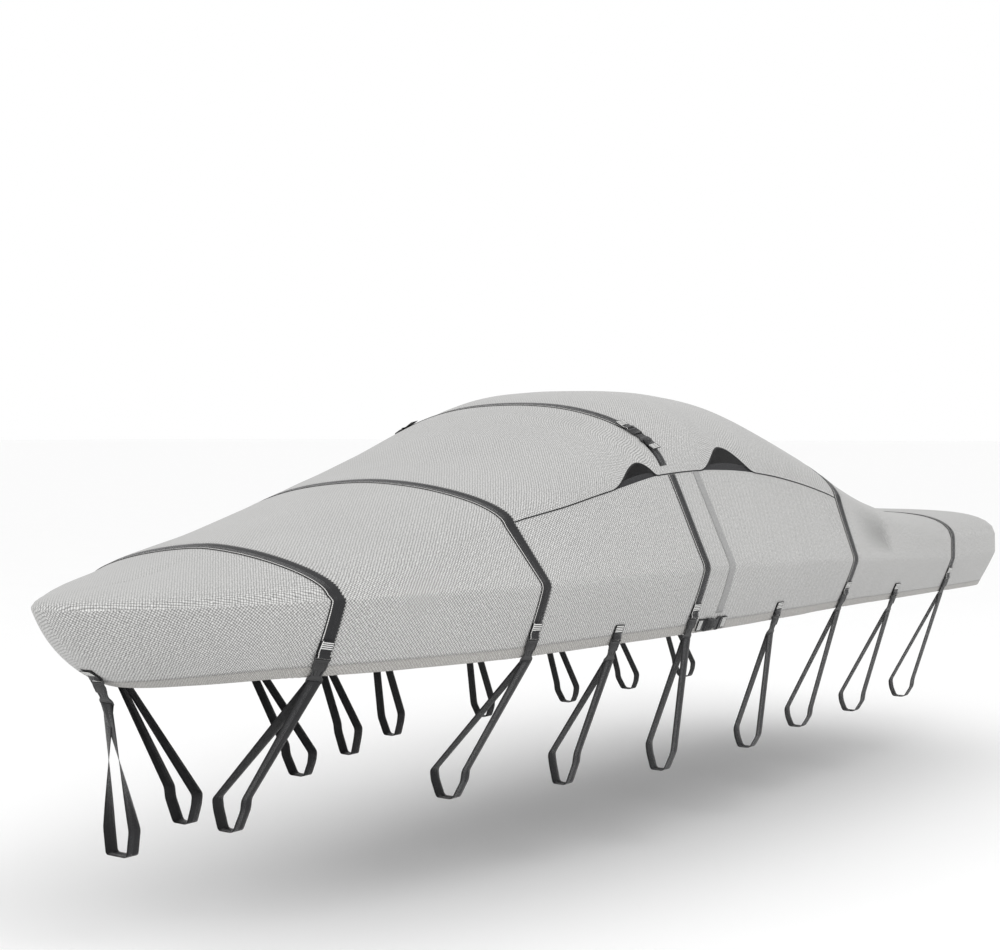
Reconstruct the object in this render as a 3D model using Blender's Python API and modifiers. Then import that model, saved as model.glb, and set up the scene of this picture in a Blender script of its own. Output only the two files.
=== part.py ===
"""Fitted cloth cover, long and pointed at the bow, with a high raised middle and webbing straps.

Metres, +Z up. X runs along the cover with the pointed bow at -X, port is -Y. The origin
lies on the centre plane, just under the cloth at the crown of the raised middle.
The cloth is described by ribs: lines that start at the hem, climb the skirt to the folded
rail, cross the side panel to the shoulder and end on the ridge in the centre plane.
"""

import math
from collections import namedtuple

import bmesh
import bpy
import numpy as np
from mathutils import Matrix, Vector

# Driving sizes. Heights in the tables are above the ground, and CROWN_HEIGHT brings them to the origin.
CROWN_HEIGHT = 2.320
CLOTH_THICKNESS = 0.0020
GAP = 0.0005
WEBBING_WIDTH = 0.064
WEBBING_THICKNESS = 0.0022
WEBBING_LIFT = 0.0009
STRIP_WIDTH = 0.060
STRIP_THICKNESS = 0.0012
HEM_SHARE = 0.14
HEM_STEP = 0.0012

# Along the cover: where each strap, tab and strip crosses it.
STRAP_X = {"bow": -2.848, "fore": -1.768, "aft": 1.085, "stern": 2.544}
TOP_STRAP_X = -0.624
SIDE_STRAP_X = -0.566
SEAM_STRIP_X = -0.326

# Buckle: distance between its two webbing bars, and its outline as rows of
# (distance below the upper bar, half width, half width of the slot or of the raised block).
BUCKLE_PITCH = 0.118
BAR_SIZE = 0.005
BAR_REACH = 0.0038
BAR_CLEARANCE = 0.0004
BLOCK_RISE = 0.005
BUCKLE_ROWS = [
    (-0.0025, 0.037, 0.033),
    (0.0025, 0.037, 0.033),
    (0.013, 0.036, 0.033),
    (0.018, 0.033, 0.027),
    (0.056, 0.032, 0.026),
    (0.084, 0.025, 0.019),
    (0.1045, 0.038, 0.033),
    (0.1155, 0.038, 0.033),
    (0.1205, 0.037, 0.033),
]
SLOT_ROWS = (1, 6)
BLOCK_ROWS = (3, 4)
FLAP_LENGTH = 0.056
TAIL_LENGTH = 0.068

# How far the sewn end of a tab comes in towards the cloth.
TAB_SEAT = 0.0006
HEM_SEAT = 0.0025
STEM_SEAT = 0.0054

Frame = namedtuple("Frame", "middle along down out")
Rib = namedtuple(
    "Rib",
    "ridge_x crown_z rail_x rail_y rail_z shoulder shoulder_z fullness edge hem_x hem_y hem_z bulge",
)


def across(x, rail_y, rail_z, shoulder_y, shoulder_z, crown_z, fullness, edge, hem_y, hem_z, bulge):
    """A rib that lies straight across the cover, in one plane of constant x."""
    return Rib(
        x, crown_z, x, rail_y, rail_z, shoulder_y / rail_y, shoulder_z, fullness, edge, x, hem_y, hem_z, bulge
    )


# One row for each rib, from the bow's centre line to the stern's centre line, port side with y outwards.
RIBS = [
    Rib(-3.300, 1.490, -3.722, 0.000, 1.408, 0.965, 1.430, 1.35, 0.64, -3.352, 0.000, 1.075, 0.048),
    Rib(-3.280, 1.494, -3.716, 0.062, 1.408, 0.965, 1.430, 1.36, 0.64, -3.345, 0.060, 1.076, 0.048),
    Rib(-3.240, 1.500, -3.668, 0.140, 1.409, 0.965, 1.430, 1.38, 0.64, -3.315, 0.130, 1.079, 0.045),
    Rib(-3.160, 1.513, -3.545, 0.262, 1.411, 0.965, 1.428, 1.38, 0.64, -3.240, 0.245, 1.085, 0.036),
    Rib(-3.030, 1.550, -3.262, 0.500, 1.417, 0.962, 1.432, 1.40, 0.63, -3.095, 0.425, 1.098, 0.022),
    across(-2.920, 0.700, 1.423, 0.672, 1.444, 1.590, 1.52, 0.62, 0.560, 1.108, 0.012),
    across(-2.861, 0.735, 1.424, 0.705, 1.450, 1.611, 1.56, 0.62, 0.595, 1.108, 0.012),
    across(-2.352, 0.880, 1.424, 0.810, 1.520, 1.720, 1.70, 0.61, 0.765, 1.104, 0.009),
    across(-1.786, 1.005, 1.423, 0.797, 1.684, 1.862, 1.83, 0.60, 0.883, 1.100, 0.008),
    across(-1.392, 1.052, 1.426, 0.887, 1.766, 1.960, 1.82, 0.60, 0.927, 1.099, 0.008),
    across(-1.094, 1.083, 1.430, 0.912, 1.822, 2.070, 1.86, 0.60, 0.958, 1.099, 0.008),
    across(-0.605, 1.134, 1.434, 0.924, 1.893, 2.248, 2.28, 0.58, 1.005, 1.099, 0.008),
    across(-0.240, 1.147, 1.430, 0.924, 1.905, 2.312, 3.10, 0.58, 1.026, 1.099, 0.008),
    across(0.000, 1.152, 1.425, 0.924, 1.900, 2.324, 2.80, 0.58, 1.032, 1.099, 0.008),
    across(0.394, 1.157, 1.413, 0.930, 1.872, 2.308, 2.30, 0.58, 1.038, 1.100, 0.008),
    across(0.883, 1.161, 1.392, 0.985, 1.785, 2.166, 2.18, 0.60, 1.038, 1.101, 0.008),
    across(1.085, 1.161, 1.382, 1.045, 1.716, 2.060, 2.15, 0.61, 1.038, 1.102, 0.008),
    across(1.392, 1.157, 1.364, 1.072, 1.600, 1.885, 2.90, 0.58, 1.042, 1.101, 0.007),
    across(1.680, 1.152, 1.349, 1.098, 1.515, 1.745, 4.20, 0.55, 1.050, 1.099, 0.006),
    across(2.016, 1.150, 1.330, 1.138, 1.462, 1.634, 6.00, 0.52, 1.054, 1.096, 0.005),
    across(2.544, 1.147, 1.306, 1.145, 1.430, 1.587, 7.00, 0.50, 1.056, 1.092, 0.004),
    across(2.985, 1.130, 1.300, 1.128, 1.422, 1.576, 7.00, 0.50, 1.040, 1.084, 0.004),
    Rib(3.060, 1.574, 3.370, 1.105, 1.298, 0.998, 1.418, 6.50, 0.50, 3.325, 1.005, 1.078, 0.004),
    Rib(3.110, 1.572, 3.500, 1.040, 1.298, 0.996, 1.417, 6.00, 0.50, 3.415, 0.950, 1.077, 0.004),
    Rib(3.150, 1.571, 3.560, 0.900, 1.298, 0.994, 1.416, 5.50, 0.50, 3.455, 0.840, 1.077, 0.004),
    Rib(3.200, 1.570, 3.573, 0.450, 1.298, 0.985, 1.415, 4.50, 0.50, 3.463, 0.420, 1.077, 0.004),
    Rib(3.230, 1.570, 3.573, 0.000, 1.298, 0.975, 1.415, 4.00, 0.50, 3.463, 0.000, 1.077, 0.004),
]

# Where straps and tabs end: the ring that each loop makes below the hem, seen along the cover.
Anchor = namedtuple("Anchor", "name x above_hem near_y far_y top_z bottom_z")
ANCHORS = [
    Anchor("bow_strap", -2.848, 0.100, 0.230, 0.060, 0.566, 0.422),
    Anchor("fore_strap", -1.768, 0.100, 0.557, 0.375, 0.556, 0.422),
    Anchor("fore_tab", -1.152, 0.036, 0.757, 0.610, 0.566, 0.413),
    Anchor("side_strap", -0.566, 0.100, 0.950, 0.800, 0.552, 0.413),
    Anchor("middle_tab", 0.310, 0.036, 0.960, 0.820, 0.515, 0.403),
    Anchor("aft_strap", 1.085, 0.100, 0.880, 0.730, 0.515, 0.403),
    Anchor("aft_tab", 1.802, 0.036, 0.880, 0.730, 0.515, 0.403),
    Anchor("stern_strap", 2.544, 0.100, 0.880, 0.730, 0.515, 0.403),
]

# Arched openings in the top panel's lower edge, with the dark facing that stands in each.
Arch = namedtuple("Arch", "name start end peak rise facing_rise")
ARCHES = [
    Arch("fore", -1.094, -0.690, -0.825, 0.090, 0.030),
    Arch("aft", -0.270, 0.320, -0.030, 0.120, 0.038),
]

# The webbing at the stem, and the port side's buckle that closes the hem.
STEM_TAB_SHARE = 0.22
STEM_HANG = (0.48, -0.877)
STEM_RING = {"x": -3.330, "half_width": 0.075, "top_z": 0.500, "bottom_z": 0.392}
HEM_BUCKLE_X = -0.428
HEM_BUCKLE_SHARE = 0.125
TOP_BUCKLE = 2.40
TOP_TAB_END = 2.10

# The sunken place on each side, behind the aft strap.
DENT = {"start": 1.150, "deepest": 1.600, "end": 1.670, "low": 1.15, "high": 2.30, "depth": 0.026}

TOP_ANGLES = (11, 23, 36, 50, 64, 77, 90)
SKIRT_STOPS = (0.0, HEM_SHARE, HEM_SHARE + 0.012, 0.38, 0.66, 1.0)
SIDE_STOPS = (1.5, 2.0)
TOP_STOPS = tuple(2.0 + angle / 90.0 for angle in TOP_ANGLES)


def smooth(xs, ys, x):
    """Monotone cubic through the points, so that a table of few rows gives a fair line."""
    xs = np.asarray(xs, float)
    ys = np.asarray(ys, float)
    steps = np.diff(xs)
    slopes = np.diff(ys) / steps
    tangents = np.zeros(len(xs))
    tangents[0], tangents[-1] = slopes[0], slopes[-1]
    for i in range(1, len(xs) - 1):
        if slopes[i - 1] * slopes[i] > 0:
            near = 2 * steps[i] + steps[i - 1]
            far = steps[i] + 2 * steps[i - 1]
            tangents[i] = (near + far) / (near / slopes[i - 1] + far / slopes[i])
    i = int(np.clip(np.searchsorted(xs, x) - 1, 0, len(steps) - 1))
    t = (x - xs[i]) / steps[i]
    rise = steps[i] * (tangents[i] * t * (1 - t) ** 2 - tangents[i + 1] * t**2 * (1 - t))
    return ys[i] * (1 + 2 * t) * (1 - t) ** 2 + ys[i + 1] * t**2 * (3 - 2 * t) + rise


COLUMNS = {field: [getattr(rib, field) for rib in RIBS] for field in Rib._fields}


def rib_at(s):
    """The rib whose ridge end lies at x = s."""
    return Rib(*(smooth(COLUMNS["ridge_x"], COLUMNS[field], s) for field in Rib._fields))


def dent_depth(x, v):
    """How far the cloth is pressed in on the side behind the aft strap."""
    if not (DENT["start"] < x < DENT["end"] and DENT["low"] < v < DENT["high"]):
        return 0.0
    if x < DENT["deepest"]:
        along = (x - DENT["start"]) / (DENT["deepest"] - DENT["start"])
    else:
        along = (DENT["end"] - x) / (DENT["end"] - DENT["deepest"])
    up = math.sin(math.pi * (v - DENT["low"]) / (DENT["high"] - DENT["low"]))
    return DENT["depth"] * along * along * (3 - 2 * along) * up


def cloth_point(s, v):
    """A point of the cloth's outer face on the port side: v is 0 at the hem, 1 at the rail,
    2 at the shoulder and 3 on the ridge."""
    rib = rib_at(s)
    ridge = Vector((rib.ridge_x, 0, 0))
    rail = Vector((rib.rail_x, -rib.rail_y, 0))
    outward = (rail - ridge).normalized()
    if v <= 1:
        hem = Vector((rib.hem_x, -rib.hem_y, 0))
        place = hem.lerp(rail, v)
        height = rib.hem_z + (rib.rail_z - rib.hem_z) * v
        lean = Vector(((rail - hem).length, rib.rail_z - rib.hem_z)).normalized()
        puff = rib.bulge * 4 * v * (1 - v) + (HEM_STEP if v <= HEM_SHARE else 0.0)
        place += outward * puff * lean.y
        height -= puff * lean.x
    elif v <= 2:
        reach = 1 + (rib.shoulder - 1) * (v - 1)
        place = ridge.lerp(rail, reach)
        height = rib.rail_z + (rib.shoulder_z - rib.rail_z) * (v - 1)
    else:
        angle = (v - 2) * math.pi / 2
        reach = rib.shoulder * max(math.cos(angle), 0.0) ** (2 / rib.fullness) if v < 3 else 0.0
        place = ridge.lerp(rail, reach)
        height = rib.shoulder_z + (rib.crown_z - rib.shoulder_z) * math.sin(angle) ** (2 * rib.edge)
    place -= outward * dent_depth(rib.ridge_x, v)
    return Vector((place.x, place.y, height - CROWN_HEIGHT))


def up_the_rib(s, start, distance):
    """The v that lies this far above v = start, measured along the cloth."""
    v, walked = start, 0.0
    here = cloth_point(s, v)
    while walked < distance and v < 2.98:
        ahead = cloth_point(s, v + 0.02)
        step = (ahead - here).length
        if walked + step > distance:
            return v + 0.02 * (distance - walked) / step
        walked += step
        v += 0.02
        here = ahead
    return v


def arch_rise(arch, x, rise):
    """Height of the arch's edge over the shoulder line: a bell that flares out at its foot."""
    if not arch.start < x < arch.end:
        return 0.0
    foot = arch.start if x < arch.peak else arch.end
    return rise * math.cos(math.pi / 2 * (x - arch.peak) / (foot - arch.peak)) ** 2


def edge_rise(x):
    return sum(arch_rise(arch, x, arch.rise) for arch in ARCHES)


def spread(start, end, count):
    return [start + (end - start) * i / count for i in range(count + 1)]


def merged(*runs, near=0.012):
    """One rising list from several, without stops that nearly coincide; the first lists win."""
    kept = []
    for run in runs:
        kept += [x for x in run if all(abs(x - k) > near for k in kept)]
    return sorted(kept)


def material(name, colour, roughness, metallic=0.0):
    made = bpy.data.materials.get(name)
    if made is None:
        made = bpy.data.materials.new(name)
        made.use_nodes = True
        shader = made.node_tree.nodes["Principled BSDF"]
        shader.inputs["Base Color"].default_value = (*colour, 1.0)
        shader.inputs["Roughness"].default_value = roughness
        shader.inputs["Metallic"].default_value = metallic
    return made


def cover_cloth():
    return material("cover_cloth", (0.54, 0.54, 0.53), 0.85)


def strip_cloth():
    return material("strip_cloth", (0.42, 0.42, 0.42), 0.85)


def black_webbing():
    return material("black_webbing", (0.030, 0.030, 0.032), 0.7)


def black_facing():
    return material("black_facing", (0.020, 0.020, 0.021), 0.8)


def buckle_plastic():
    return material("buckle_plastic", (0.022, 0.022, 0.023), 0.4)


def place_object(name, mesh, surface, collection):
    mesh.materials.append(surface)
    obj = bpy.data.objects.new(name, mesh)
    collection.objects.link(obj)
    return obj


def grid_mesh(name, rows, closed=False, keep=None):
    """An open surface through rows of points; keep(i, k) says which of its faces exist."""
    mesh = bpy.data.meshes.new(name)
    bm = bmesh.new()
    grid = [[bm.verts.new(point) for point in row] for row in rows]
    width = len(rows[0])
    for i in range(len(rows) - 1):
        for k in range(width if closed else width - 1):
            if keep is None or keep(i, k):
                after = (k + 1) % width
                bm.faces.new((grid[i][k], grid[i + 1][k], grid[i + 1][after], grid[i][after]))
    bmesh.ops.remove_doubles(bm, verts=bm.verts, dist=1e-6)
    bmesh.ops.delete(bm, geom=[v for v in bm.verts if not v.link_faces], context="VERTS")
    bm.to_mesh(mesh)
    bm.free()
    mesh.shade_smooth()
    return mesh


def thicken(obj, thickness, side):
    """side 0 keeps the surface in the middle, -1 keeps it as the outer face."""
    solid = obj.modifiers.new("Thickness", "SOLIDIFY")
    solid.thickness = thickness
    solid.offset = side
    solid.use_even_offset = True
    return obj


def mirror_across(obj):
    mirror = obj.modifiers.new("Both sides", "MIRROR")
    mirror.use_axis = (False, True, False)
    mirror.merge_threshold = 0.00005
    return obj


def opposite(point):
    return Vector((point.x, -point.y, point.z))


def port_and_starboard(build, name, *args):
    """Builds a piece on the port side, and its mirror image as an object of its own."""
    port = build(name + "_port", *args)
    mesh = port.data.copy()
    mesh.name = name + "_starboard"
    mesh.transform(port.matrix_world)
    mesh.transform(Matrix.Scale(-1, 4, (0, 1, 0)))
    mesh.flip_normals()
    starboard = bpy.data.objects.new(name + "_starboard", mesh)
    port.users_collection[0].objects.link(starboard)
    for modifier in port.modifiers:
        thicken(starboard, modifier.thickness, modifier.offset)
    return port, starboard


FORE_SEAM = STRAP_X["fore"] + WEBBING_WIDTH / 2
AFT_SEAM = STRAP_X["aft"] - WEBBING_WIDTH / 2


def webbing_rows(x):
    """Webbing lies on two of the cloth's stops, so that it follows the same facets as the cloth under it."""
    return [x - WEBBING_WIDTH / 2, x + WEBBING_WIDTH / 2]


def body_rows():
    """Stops along the ridge, closer where the cloth turns; none falls inside a strap or the seam strip."""
    straps = [stop for x in STRAP_X.values() for stop in webbing_rows(x)]
    straps += webbing_rows(SIDE_STRAP_X)
    straps += [SEAM_STRIP_X - STRIP_WIDTH / 2, SEAM_STRIP_X + STRIP_WIDTH / 2]
    between = [DENT["deepest"], DENT["end"]]
    between += [-3.300, -3.294, -3.284, -3.268, -3.242, -3.205, -3.155, -3.095, -3.030, -2.965]
    between += spread(-2.740, -1.870, 6) + spread(-1.700, -1.150, 4) + [-0.655]
    between += [x for arch in ARCHES for x in spread(arch.start, arch.end, 8)]
    between += [0.43, 0.56, 0.69, 0.80, 0.90, 0.99, 1.19, 1.27, 1.35, 1.43, 1.51, 1.79, 1.92, 2.10, 2.34]
    between += [2.75, 2.93, 3.030, 3.065, 3.095, 3.120, 3.145, 3.170, 3.200, 3.230]
    covered = [(x - WEBBING_WIDTH / 2, x + WEBBING_WIDTH / 2) for x in (*STRAP_X.values(), SIDE_STRAP_X)]
    covered.append((SEAM_STRIP_X - STRIP_WIDTH / 2, SEAM_STRIP_X + STRIP_WIDTH / 2))
    clear = [x for x in between if not any(low < x < high for low, high in covered)]
    return merged(straps, clear, near=0.0055)


def build_body(collection):
    rows = body_rows()
    stops = SKIRT_STOPS + SIDE_STOPS + TOP_STOPS
    shoulder = stops.index(2.0)

    def keep(i, k):
        between_seams = rows[i] >= FORE_SEAM - 1e-6 and rows[i + 1] <= AFT_SEAM + 1e-6
        return not (between_seams and k >= shoulder)

    points = [[cloth_point(s, v) for v in stops] for s in rows]
    mesh = grid_mesh("cover_body", points, keep=keep)
    body = place_object("cover_body", mesh, cover_cloth(), collection)
    return thicken(mirror_across(body), CLOTH_THICKNESS, -1)


def build_top_panel(collection):
    rows = [x for x in body_rows() if FORE_SEAM + GAP < x < AFT_SEAM - GAP]
    rows = [FORE_SEAM + GAP] + rows + [AFT_SEAM - GAP]
    points = []
    for s in rows:
        low = up_the_rib(s, 2.0, edge_rise(s) + 2 * GAP)
        points.append([cloth_point(s, low)] + [cloth_point(s, low + (v - 2) * (3 - low)) for v in TOP_STOPS])
    mesh = grid_mesh("top_panel", points)
    panel = place_object("top_panel", mesh, cover_cloth(), collection)
    return thicken(mirror_across(panel), CLOTH_THICKNESS, -1)


def build_facing(name, collection):
    """A dark strip behind the side panel's upper edge, higher where it shows in the openings."""
    rows = [x for x in body_rows() if ARCHES[0].start + 0.01 < x < ARCHES[-1].end - 0.01]
    points = []
    for s in rows:
        rise = 0.012
        for arch in ARCHES:
            if arch.start < s < arch.end:
                share = (s - arch.start) / (arch.end - arch.start)
                rise += (arch.facing_rise - 0.012) * math.sin(math.pi * share)
        high = up_the_rib(s, 2.0, rise)
        points.append([cloth_point(s, 1.94), cloth_point(s, 2.0), cloth_point(s, high)])
    near = lifted(points, -CLOTH_THICKNESS - GAP)
    deep = lifted(points, -CLOTH_THICKNESS - 0.0045)
    points = [low[:2] + high[2:] for low, high in zip(near, deep)]
    piece = place_object(name, grid_mesh(name, points), black_facing(), collection)
    return thicken(piece, CLOTH_THICKNESS, -1)


def lifted(rows, distance):
    """Rows of points that follow the cloth, moved outwards along the cloth's normal in each rib."""
    moved = []
    for row in rows:
        line = []
        for k, point in enumerate(row):
            before = (point - row[k - 1]).normalized() if k else None
            after = (row[k + 1] - point).normalized() if k < len(row) - 1 else None
            along = ((before or after) + (after or before)).normalized()
            normal = Vector((0, -along.z, along.y)).normalized()
            reach = distance / max(0.6, along.dot(after or before))
            line.append(point + normal * reach)
        moved.append(line)
    return moved


ON_CLOTH = WEBBING_LIFT + WEBBING_THICKNESS / 2
ON_HEM = ON_CLOTH + HEM_STEP
WRAP = BAR_REACH + BAR_CLEARANCE + WEBBING_THICKNESS / 2
BAR_OUT = ON_HEM + WRAP
SIDES = (-WEBBING_WIDTH / 2, WEBBING_WIDTH / 2)


def whole_girth(s, stops):
    """Points from the port end over the ridge to the starboard end."""
    port = [cloth_point(s, v) for v in stops]
    return port + [opposite(point) for point in reversed(port[:-1])]


def frame_from(middle, along, down):
    """A frame whose middle is on the cloth; out points away from the centre plane, or upwards."""
    down = down.normalized()
    out = down.cross(along).normalized()
    if out.y * (1 if middle.y > 0 else -1) < -0.2 or (abs(out.y) < 0.2 and out.z < 0):
        out = -out
    side = out.cross(down)
    return Frame(middle, side if side.dot(along) > 0 else -side, down, out)


def on_frame(frame, along, down, out):
    return frame.middle + frame.along * along + frame.down * down + frame.out * out


def other_end(frame):
    """The frame of a buckle's lower bar, looking back at the upper one."""
    return Frame(on_frame(frame, 0, BUCKLE_PITCH, 0), frame.along, -frame.down, frame.out)


def anchor_share(anchor):
    """How far up the skirt the upper bar sits."""
    return anchor.above_hem / (cloth_point(anchor.x, 1.0) - cloth_point(anchor.x, 0.0)).length


def anchor_frame(anchor):
    share = anchor_share(anchor)
    along = cloth_point(anchor.x + 0.02, share) - cloth_point(anchor.x - 0.02, share)
    down = cloth_point(anchor.x, 0.0) - cloth_point(anchor.x, 0.6)
    return frame_from(cloth_point(anchor.x, share), along.normalized(), down)


def top_buckle_frame():
    """Frame at the upper bar of the buckle on the top panel, level with the cloth at the buckle's middle."""
    middle = cloth_point(TOP_STRAP_X, TOP_BUCKLE)
    along = cloth_point(TOP_STRAP_X + 0.02, TOP_BUCKLE) - cloth_point(TOP_STRAP_X - 0.02, TOP_BUCKLE)
    down = cloth_point(TOP_STRAP_X, TOP_BUCKLE - 0.05) - cloth_point(TOP_STRAP_X, TOP_BUCKLE + 0.05)
    frame = frame_from(middle, along.normalized(), down)
    return frame._replace(middle=on_frame(frame, 0, -BUCKLE_PITCH / 2, 0))


def hem_buckle_frame():
    """Frame of the buckle that lies along the hem: its down direction runs aft."""
    middle = cloth_point(HEM_BUCKLE_X, HEM_BUCKLE_SHARE)
    up = cloth_point(HEM_BUCKLE_X, 0.4) - cloth_point(HEM_BUCKLE_X, 0.0)
    aft = cloth_point(HEM_BUCKLE_X + 0.12, HEM_BUCKLE_SHARE) - middle
    return frame_from(middle, up.normalized(), aft)


def fold(frame):
    """Rows for the end of a strap: behind the bar, round it, and back up over itself as a sewn flap."""
    front = BAR_OUT + WRAP
    turn = []
    for angle in (30, 70, 110, 150):
        turned = math.radians(angle)
        turn.append((WRAP * math.sin(turned), BAR_OUT - WRAP * math.cos(turned)))
    over = ON_HEM + WEBBING_THICKNESS + GAP
    path = [(-0.010, ON_HEM), (0.0, ON_HEM)] + turn
    path += [(0.0, front), (-0.004, front), (-0.016, over), (-0.016 - FLAP_LENGTH, over)]
    return [[on_frame(frame, side, down, out) for down, out in path] for side in SIDES]


def tail(frame, seat):
    """Rows for the sewn end of a tab that lies straight in its frame; seat is how far that end comes in."""
    path = [(-TAIL_LENGTH, ON_HEM - seat), (-0.030, ON_HEM - seat / 2)]
    return [[on_frame(frame, side, down, out) for down, out in path] for side in SIDES]


def webbing(name, rows, collection, closed=False):
    strap = place_object(name, grid_mesh(name, rows, closed), black_webbing(), collection)
    return thicken(strap, WEBBING_THICKNESS, 0)


def cloth_line(x, stops, seat=0.0):
    return lifted([[cloth_point(s, v) for v in stops] for s in webbing_rows(x)], ON_CLOTH - seat)


def strap_over(name, x, stops, frame, collection):
    """Half of a strap from its fold up to the ridge, mirrored to cross the whole cover."""
    girth = lifted([whole_girth(s, stops) for s in webbing_rows(x)], ON_CLOTH)
    rows = [end[::-1] + line[: len(stops)] for line, end in zip(girth, fold(frame))]
    strap = place_object(name, grid_mesh(name, rows), black_webbing(), collection)
    return thicken(mirror_across(strap), WEBBING_THICKNESS, 0)


def build_over_strap(name, anchor, collection):
    """A strap that crosses the whole cover, folded round a buckle's bar at each end."""
    stops = [v for v in SKIRT_STOPS + SIDE_STOPS + TOP_STOPS if v > anchor_share(anchor) + 0.06]
    return strap_over(name, anchor.x, stops, anchor_frame(anchor), collection)


def build_side_strap(name, anchor, collection):
    """A strap on one side only, from the top panel's edge down to its buckle."""
    stops = [v for v in SKIRT_STOPS + SIDE_STOPS if v > anchor_share(anchor) + 0.06]
    lines = cloth_line(anchor.x, stops[:-1] + [1.985])
    rows = [end[::-1] + line for line, end in zip(lines, fold(anchor_frame(anchor)))]
    return webbing(name, rows, collection)


def build_tab(name, anchor, collection):
    """A short tab sewn on the skirt, folded round the bar."""
    frame = anchor_frame(anchor)
    middle = anchor_share(anchor)
    top = up_the_rib(anchor.x, middle, TAIL_LENGTH)
    lines = cloth_line(anchor.x, [(top + middle) / 2 + 0.02, top], TAB_SEAT)
    return webbing(name, [line[::-1] + end for line, end in zip(lines, fold(frame))], collection)


def build_top_strap(name, collection):
    """The strap over the crown, folded round a buckle's bar on each side."""
    stops = [v for v in TOP_STOPS if v > TOP_BUCKLE + 0.15]
    return strap_over(name, TOP_STRAP_X, stops, top_buckle_frame(), collection)


def build_top_tab(name, collection):
    """The tab on the tongue of the top panel that holds the top buckle's lower bar."""
    lines = cloth_line(TOP_STRAP_X, [TOP_TAB_END, TOP_STOPS[0], TOP_STOPS[1]])
    ends = fold(other_end(top_buckle_frame()))
    return webbing(name, [line + end for line, end in zip(lines, ends)], collection)


def build_straight_tab(name, frame, seat, collection):
    rows = [line + end for line, end in zip(tail(frame, seat), fold(frame))]
    return webbing(name, rows, collection)


def build_buckle(name, frame, collection):
    """A plate with a webbing bar and a slot at each end, and a raised block between them."""
    mesh = bpy.data.meshes.new(name)
    bm = bmesh.new()
    rows = []
    for down, half, inner in BUCKLE_ROWS:
        rows.append([bm.verts.new((x, down, -BAR_SIZE / 2)) for x in (-half, -inner, inner, half)])
    for i in range(len(rows) - 1):
        for k in range(3):
            if not (k == 1 and i in SLOT_ROWS):
                bm.faces.new((rows[i][k], rows[i][k + 1], rows[i + 1][k + 1], rows[i + 1][k]))
    bmesh.ops.recalc_face_normals(bm, faces=bm.faces)
    plate = bmesh.ops.extrude_face_region(bm, geom=list(bm.faces))["geom"]
    front = [item for item in plate if isinstance(item, bmesh.types.BMFace)]
    raised = {vert for face in front for vert in face.verts}
    bmesh.ops.translate(bm, verts=list(raised), vec=(0, 0, BAR_SIZE))
    low, high = BUCKLE_ROWS[BLOCK_ROWS[0]][0], BUCKLE_ROWS[BLOCK_ROWS[1] + 1][0]
    block = []
    for face in front:
        centre = face.calc_center_median()
        if low < centre.y < high and abs(centre.x) < 0.01:
            block.append(face)
    lifted_block = bmesh.ops.extrude_face_region(bm, geom=block)["geom"]
    bmesh.ops.delete(bm, geom=[face for face in block if face.is_valid], context="FACES_ONLY")
    corners = [item for item in lifted_block if isinstance(item, bmesh.types.BMVert)]
    bmesh.ops.translate(bm, verts=corners, vec=(0, 0, BLOCK_RISE))
    bmesh.ops.scale(bm, verts=corners, vec=(0.92, 1, 1))
    bmesh.ops.recalc_face_normals(bm, faces=bm.faces)
    bm.to_mesh(mesh)
    bm.free()
    side = frame.down.cross(frame.out)
    axes = Matrix((side, frame.down, frame.out)).transposed().to_4x4()
    axes.translation = on_frame(frame, 0, 0, BAR_OUT)
    mesh.transform(axes)
    return place_object(name, mesh, buckle_plastic(), collection)


def round_bar(frame, near, far):
    """Points over the lower bar, from where the far strand leaves it to where the near one does."""
    bar = on_frame(frame, 0, BUCKLE_PITCH, BAR_OUT)
    ends = []
    for target, side in ((far, math.pi), (near, 0.0)):
        away = target - bar
        ends.append(side - math.atan2(-away.dot(frame.out), away.dot(frame.down)))
    points = []
    for angle in spread(ends[0], ends[1], 4):
        points.append(bar + frame.out * WRAP * math.cos(angle) - frame.down * WRAP * math.sin(angle))
    return points


def build_loop(name, anchor, collection):
    """The webbing ring that hangs from a buckle's lower bar."""
    frame = anchor_frame(anchor)
    bar = on_frame(frame, 0, BUCKLE_PITCH, BAR_OUT)
    middle = (anchor.near_y + anchor.far_y) / 2 - 0.01
    half = 0.30 * (anchor.near_y - anchor.far_y)
    ring = [
        (anchor.near_y, anchor.top_z),
        (anchor.near_y - 0.006, anchor.top_z - 0.045),
        (middle + half * 0.8, anchor.bottom_z),
        (middle - half * 0.8, anchor.bottom_z),
        (anchor.far_y + 0.006, anchor.top_z - 0.060),
        (anchor.far_y, anchor.top_z - 0.014),
    ]
    below = [Vector((bar.x, -y, z - CROWN_HEIGHT)) for y, z in ring]
    top = round_bar(frame, below[0], below[-1])
    rows = []
    for side in SIDES:
        row = [point + frame.along * side for point in top]
        rows.append(row + [point + Vector((side, 0, 0)) for point in below])
    return webbing(name, rows, collection, closed=True)


def stem_point(v):
    return cloth_point(RIBS[0].ridge_x, v)


def stem_frames():
    """The tab's frame along the stem, and the buckle's, which hangs more steeply from the same bar."""
    middle = stem_point(STEM_TAB_SHARE)
    down = (stem_point(STEM_TAB_SHARE - 0.1) - stem_point(STEM_TAB_SHARE + 0.1)).normalized()
    out = Vector((down.z, 0, -down.x)).normalized()
    tab = Frame(middle, Vector((0, 1, 0)), down, out)
    bar = on_frame(tab, 0, 0, BAR_OUT)
    hang = Vector((STEM_HANG[0], 0, STEM_HANG[1])).normalized()
    front = Vector((hang.z, 0, -hang.x))
    return tab, Frame(bar - front * BAR_OUT, Vector((0, 1, 0)), hang, front)


def build_stem_tab(name, collection):
    return build_straight_tab(name, stem_frames()[0], STEM_SEAT, collection)


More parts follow.
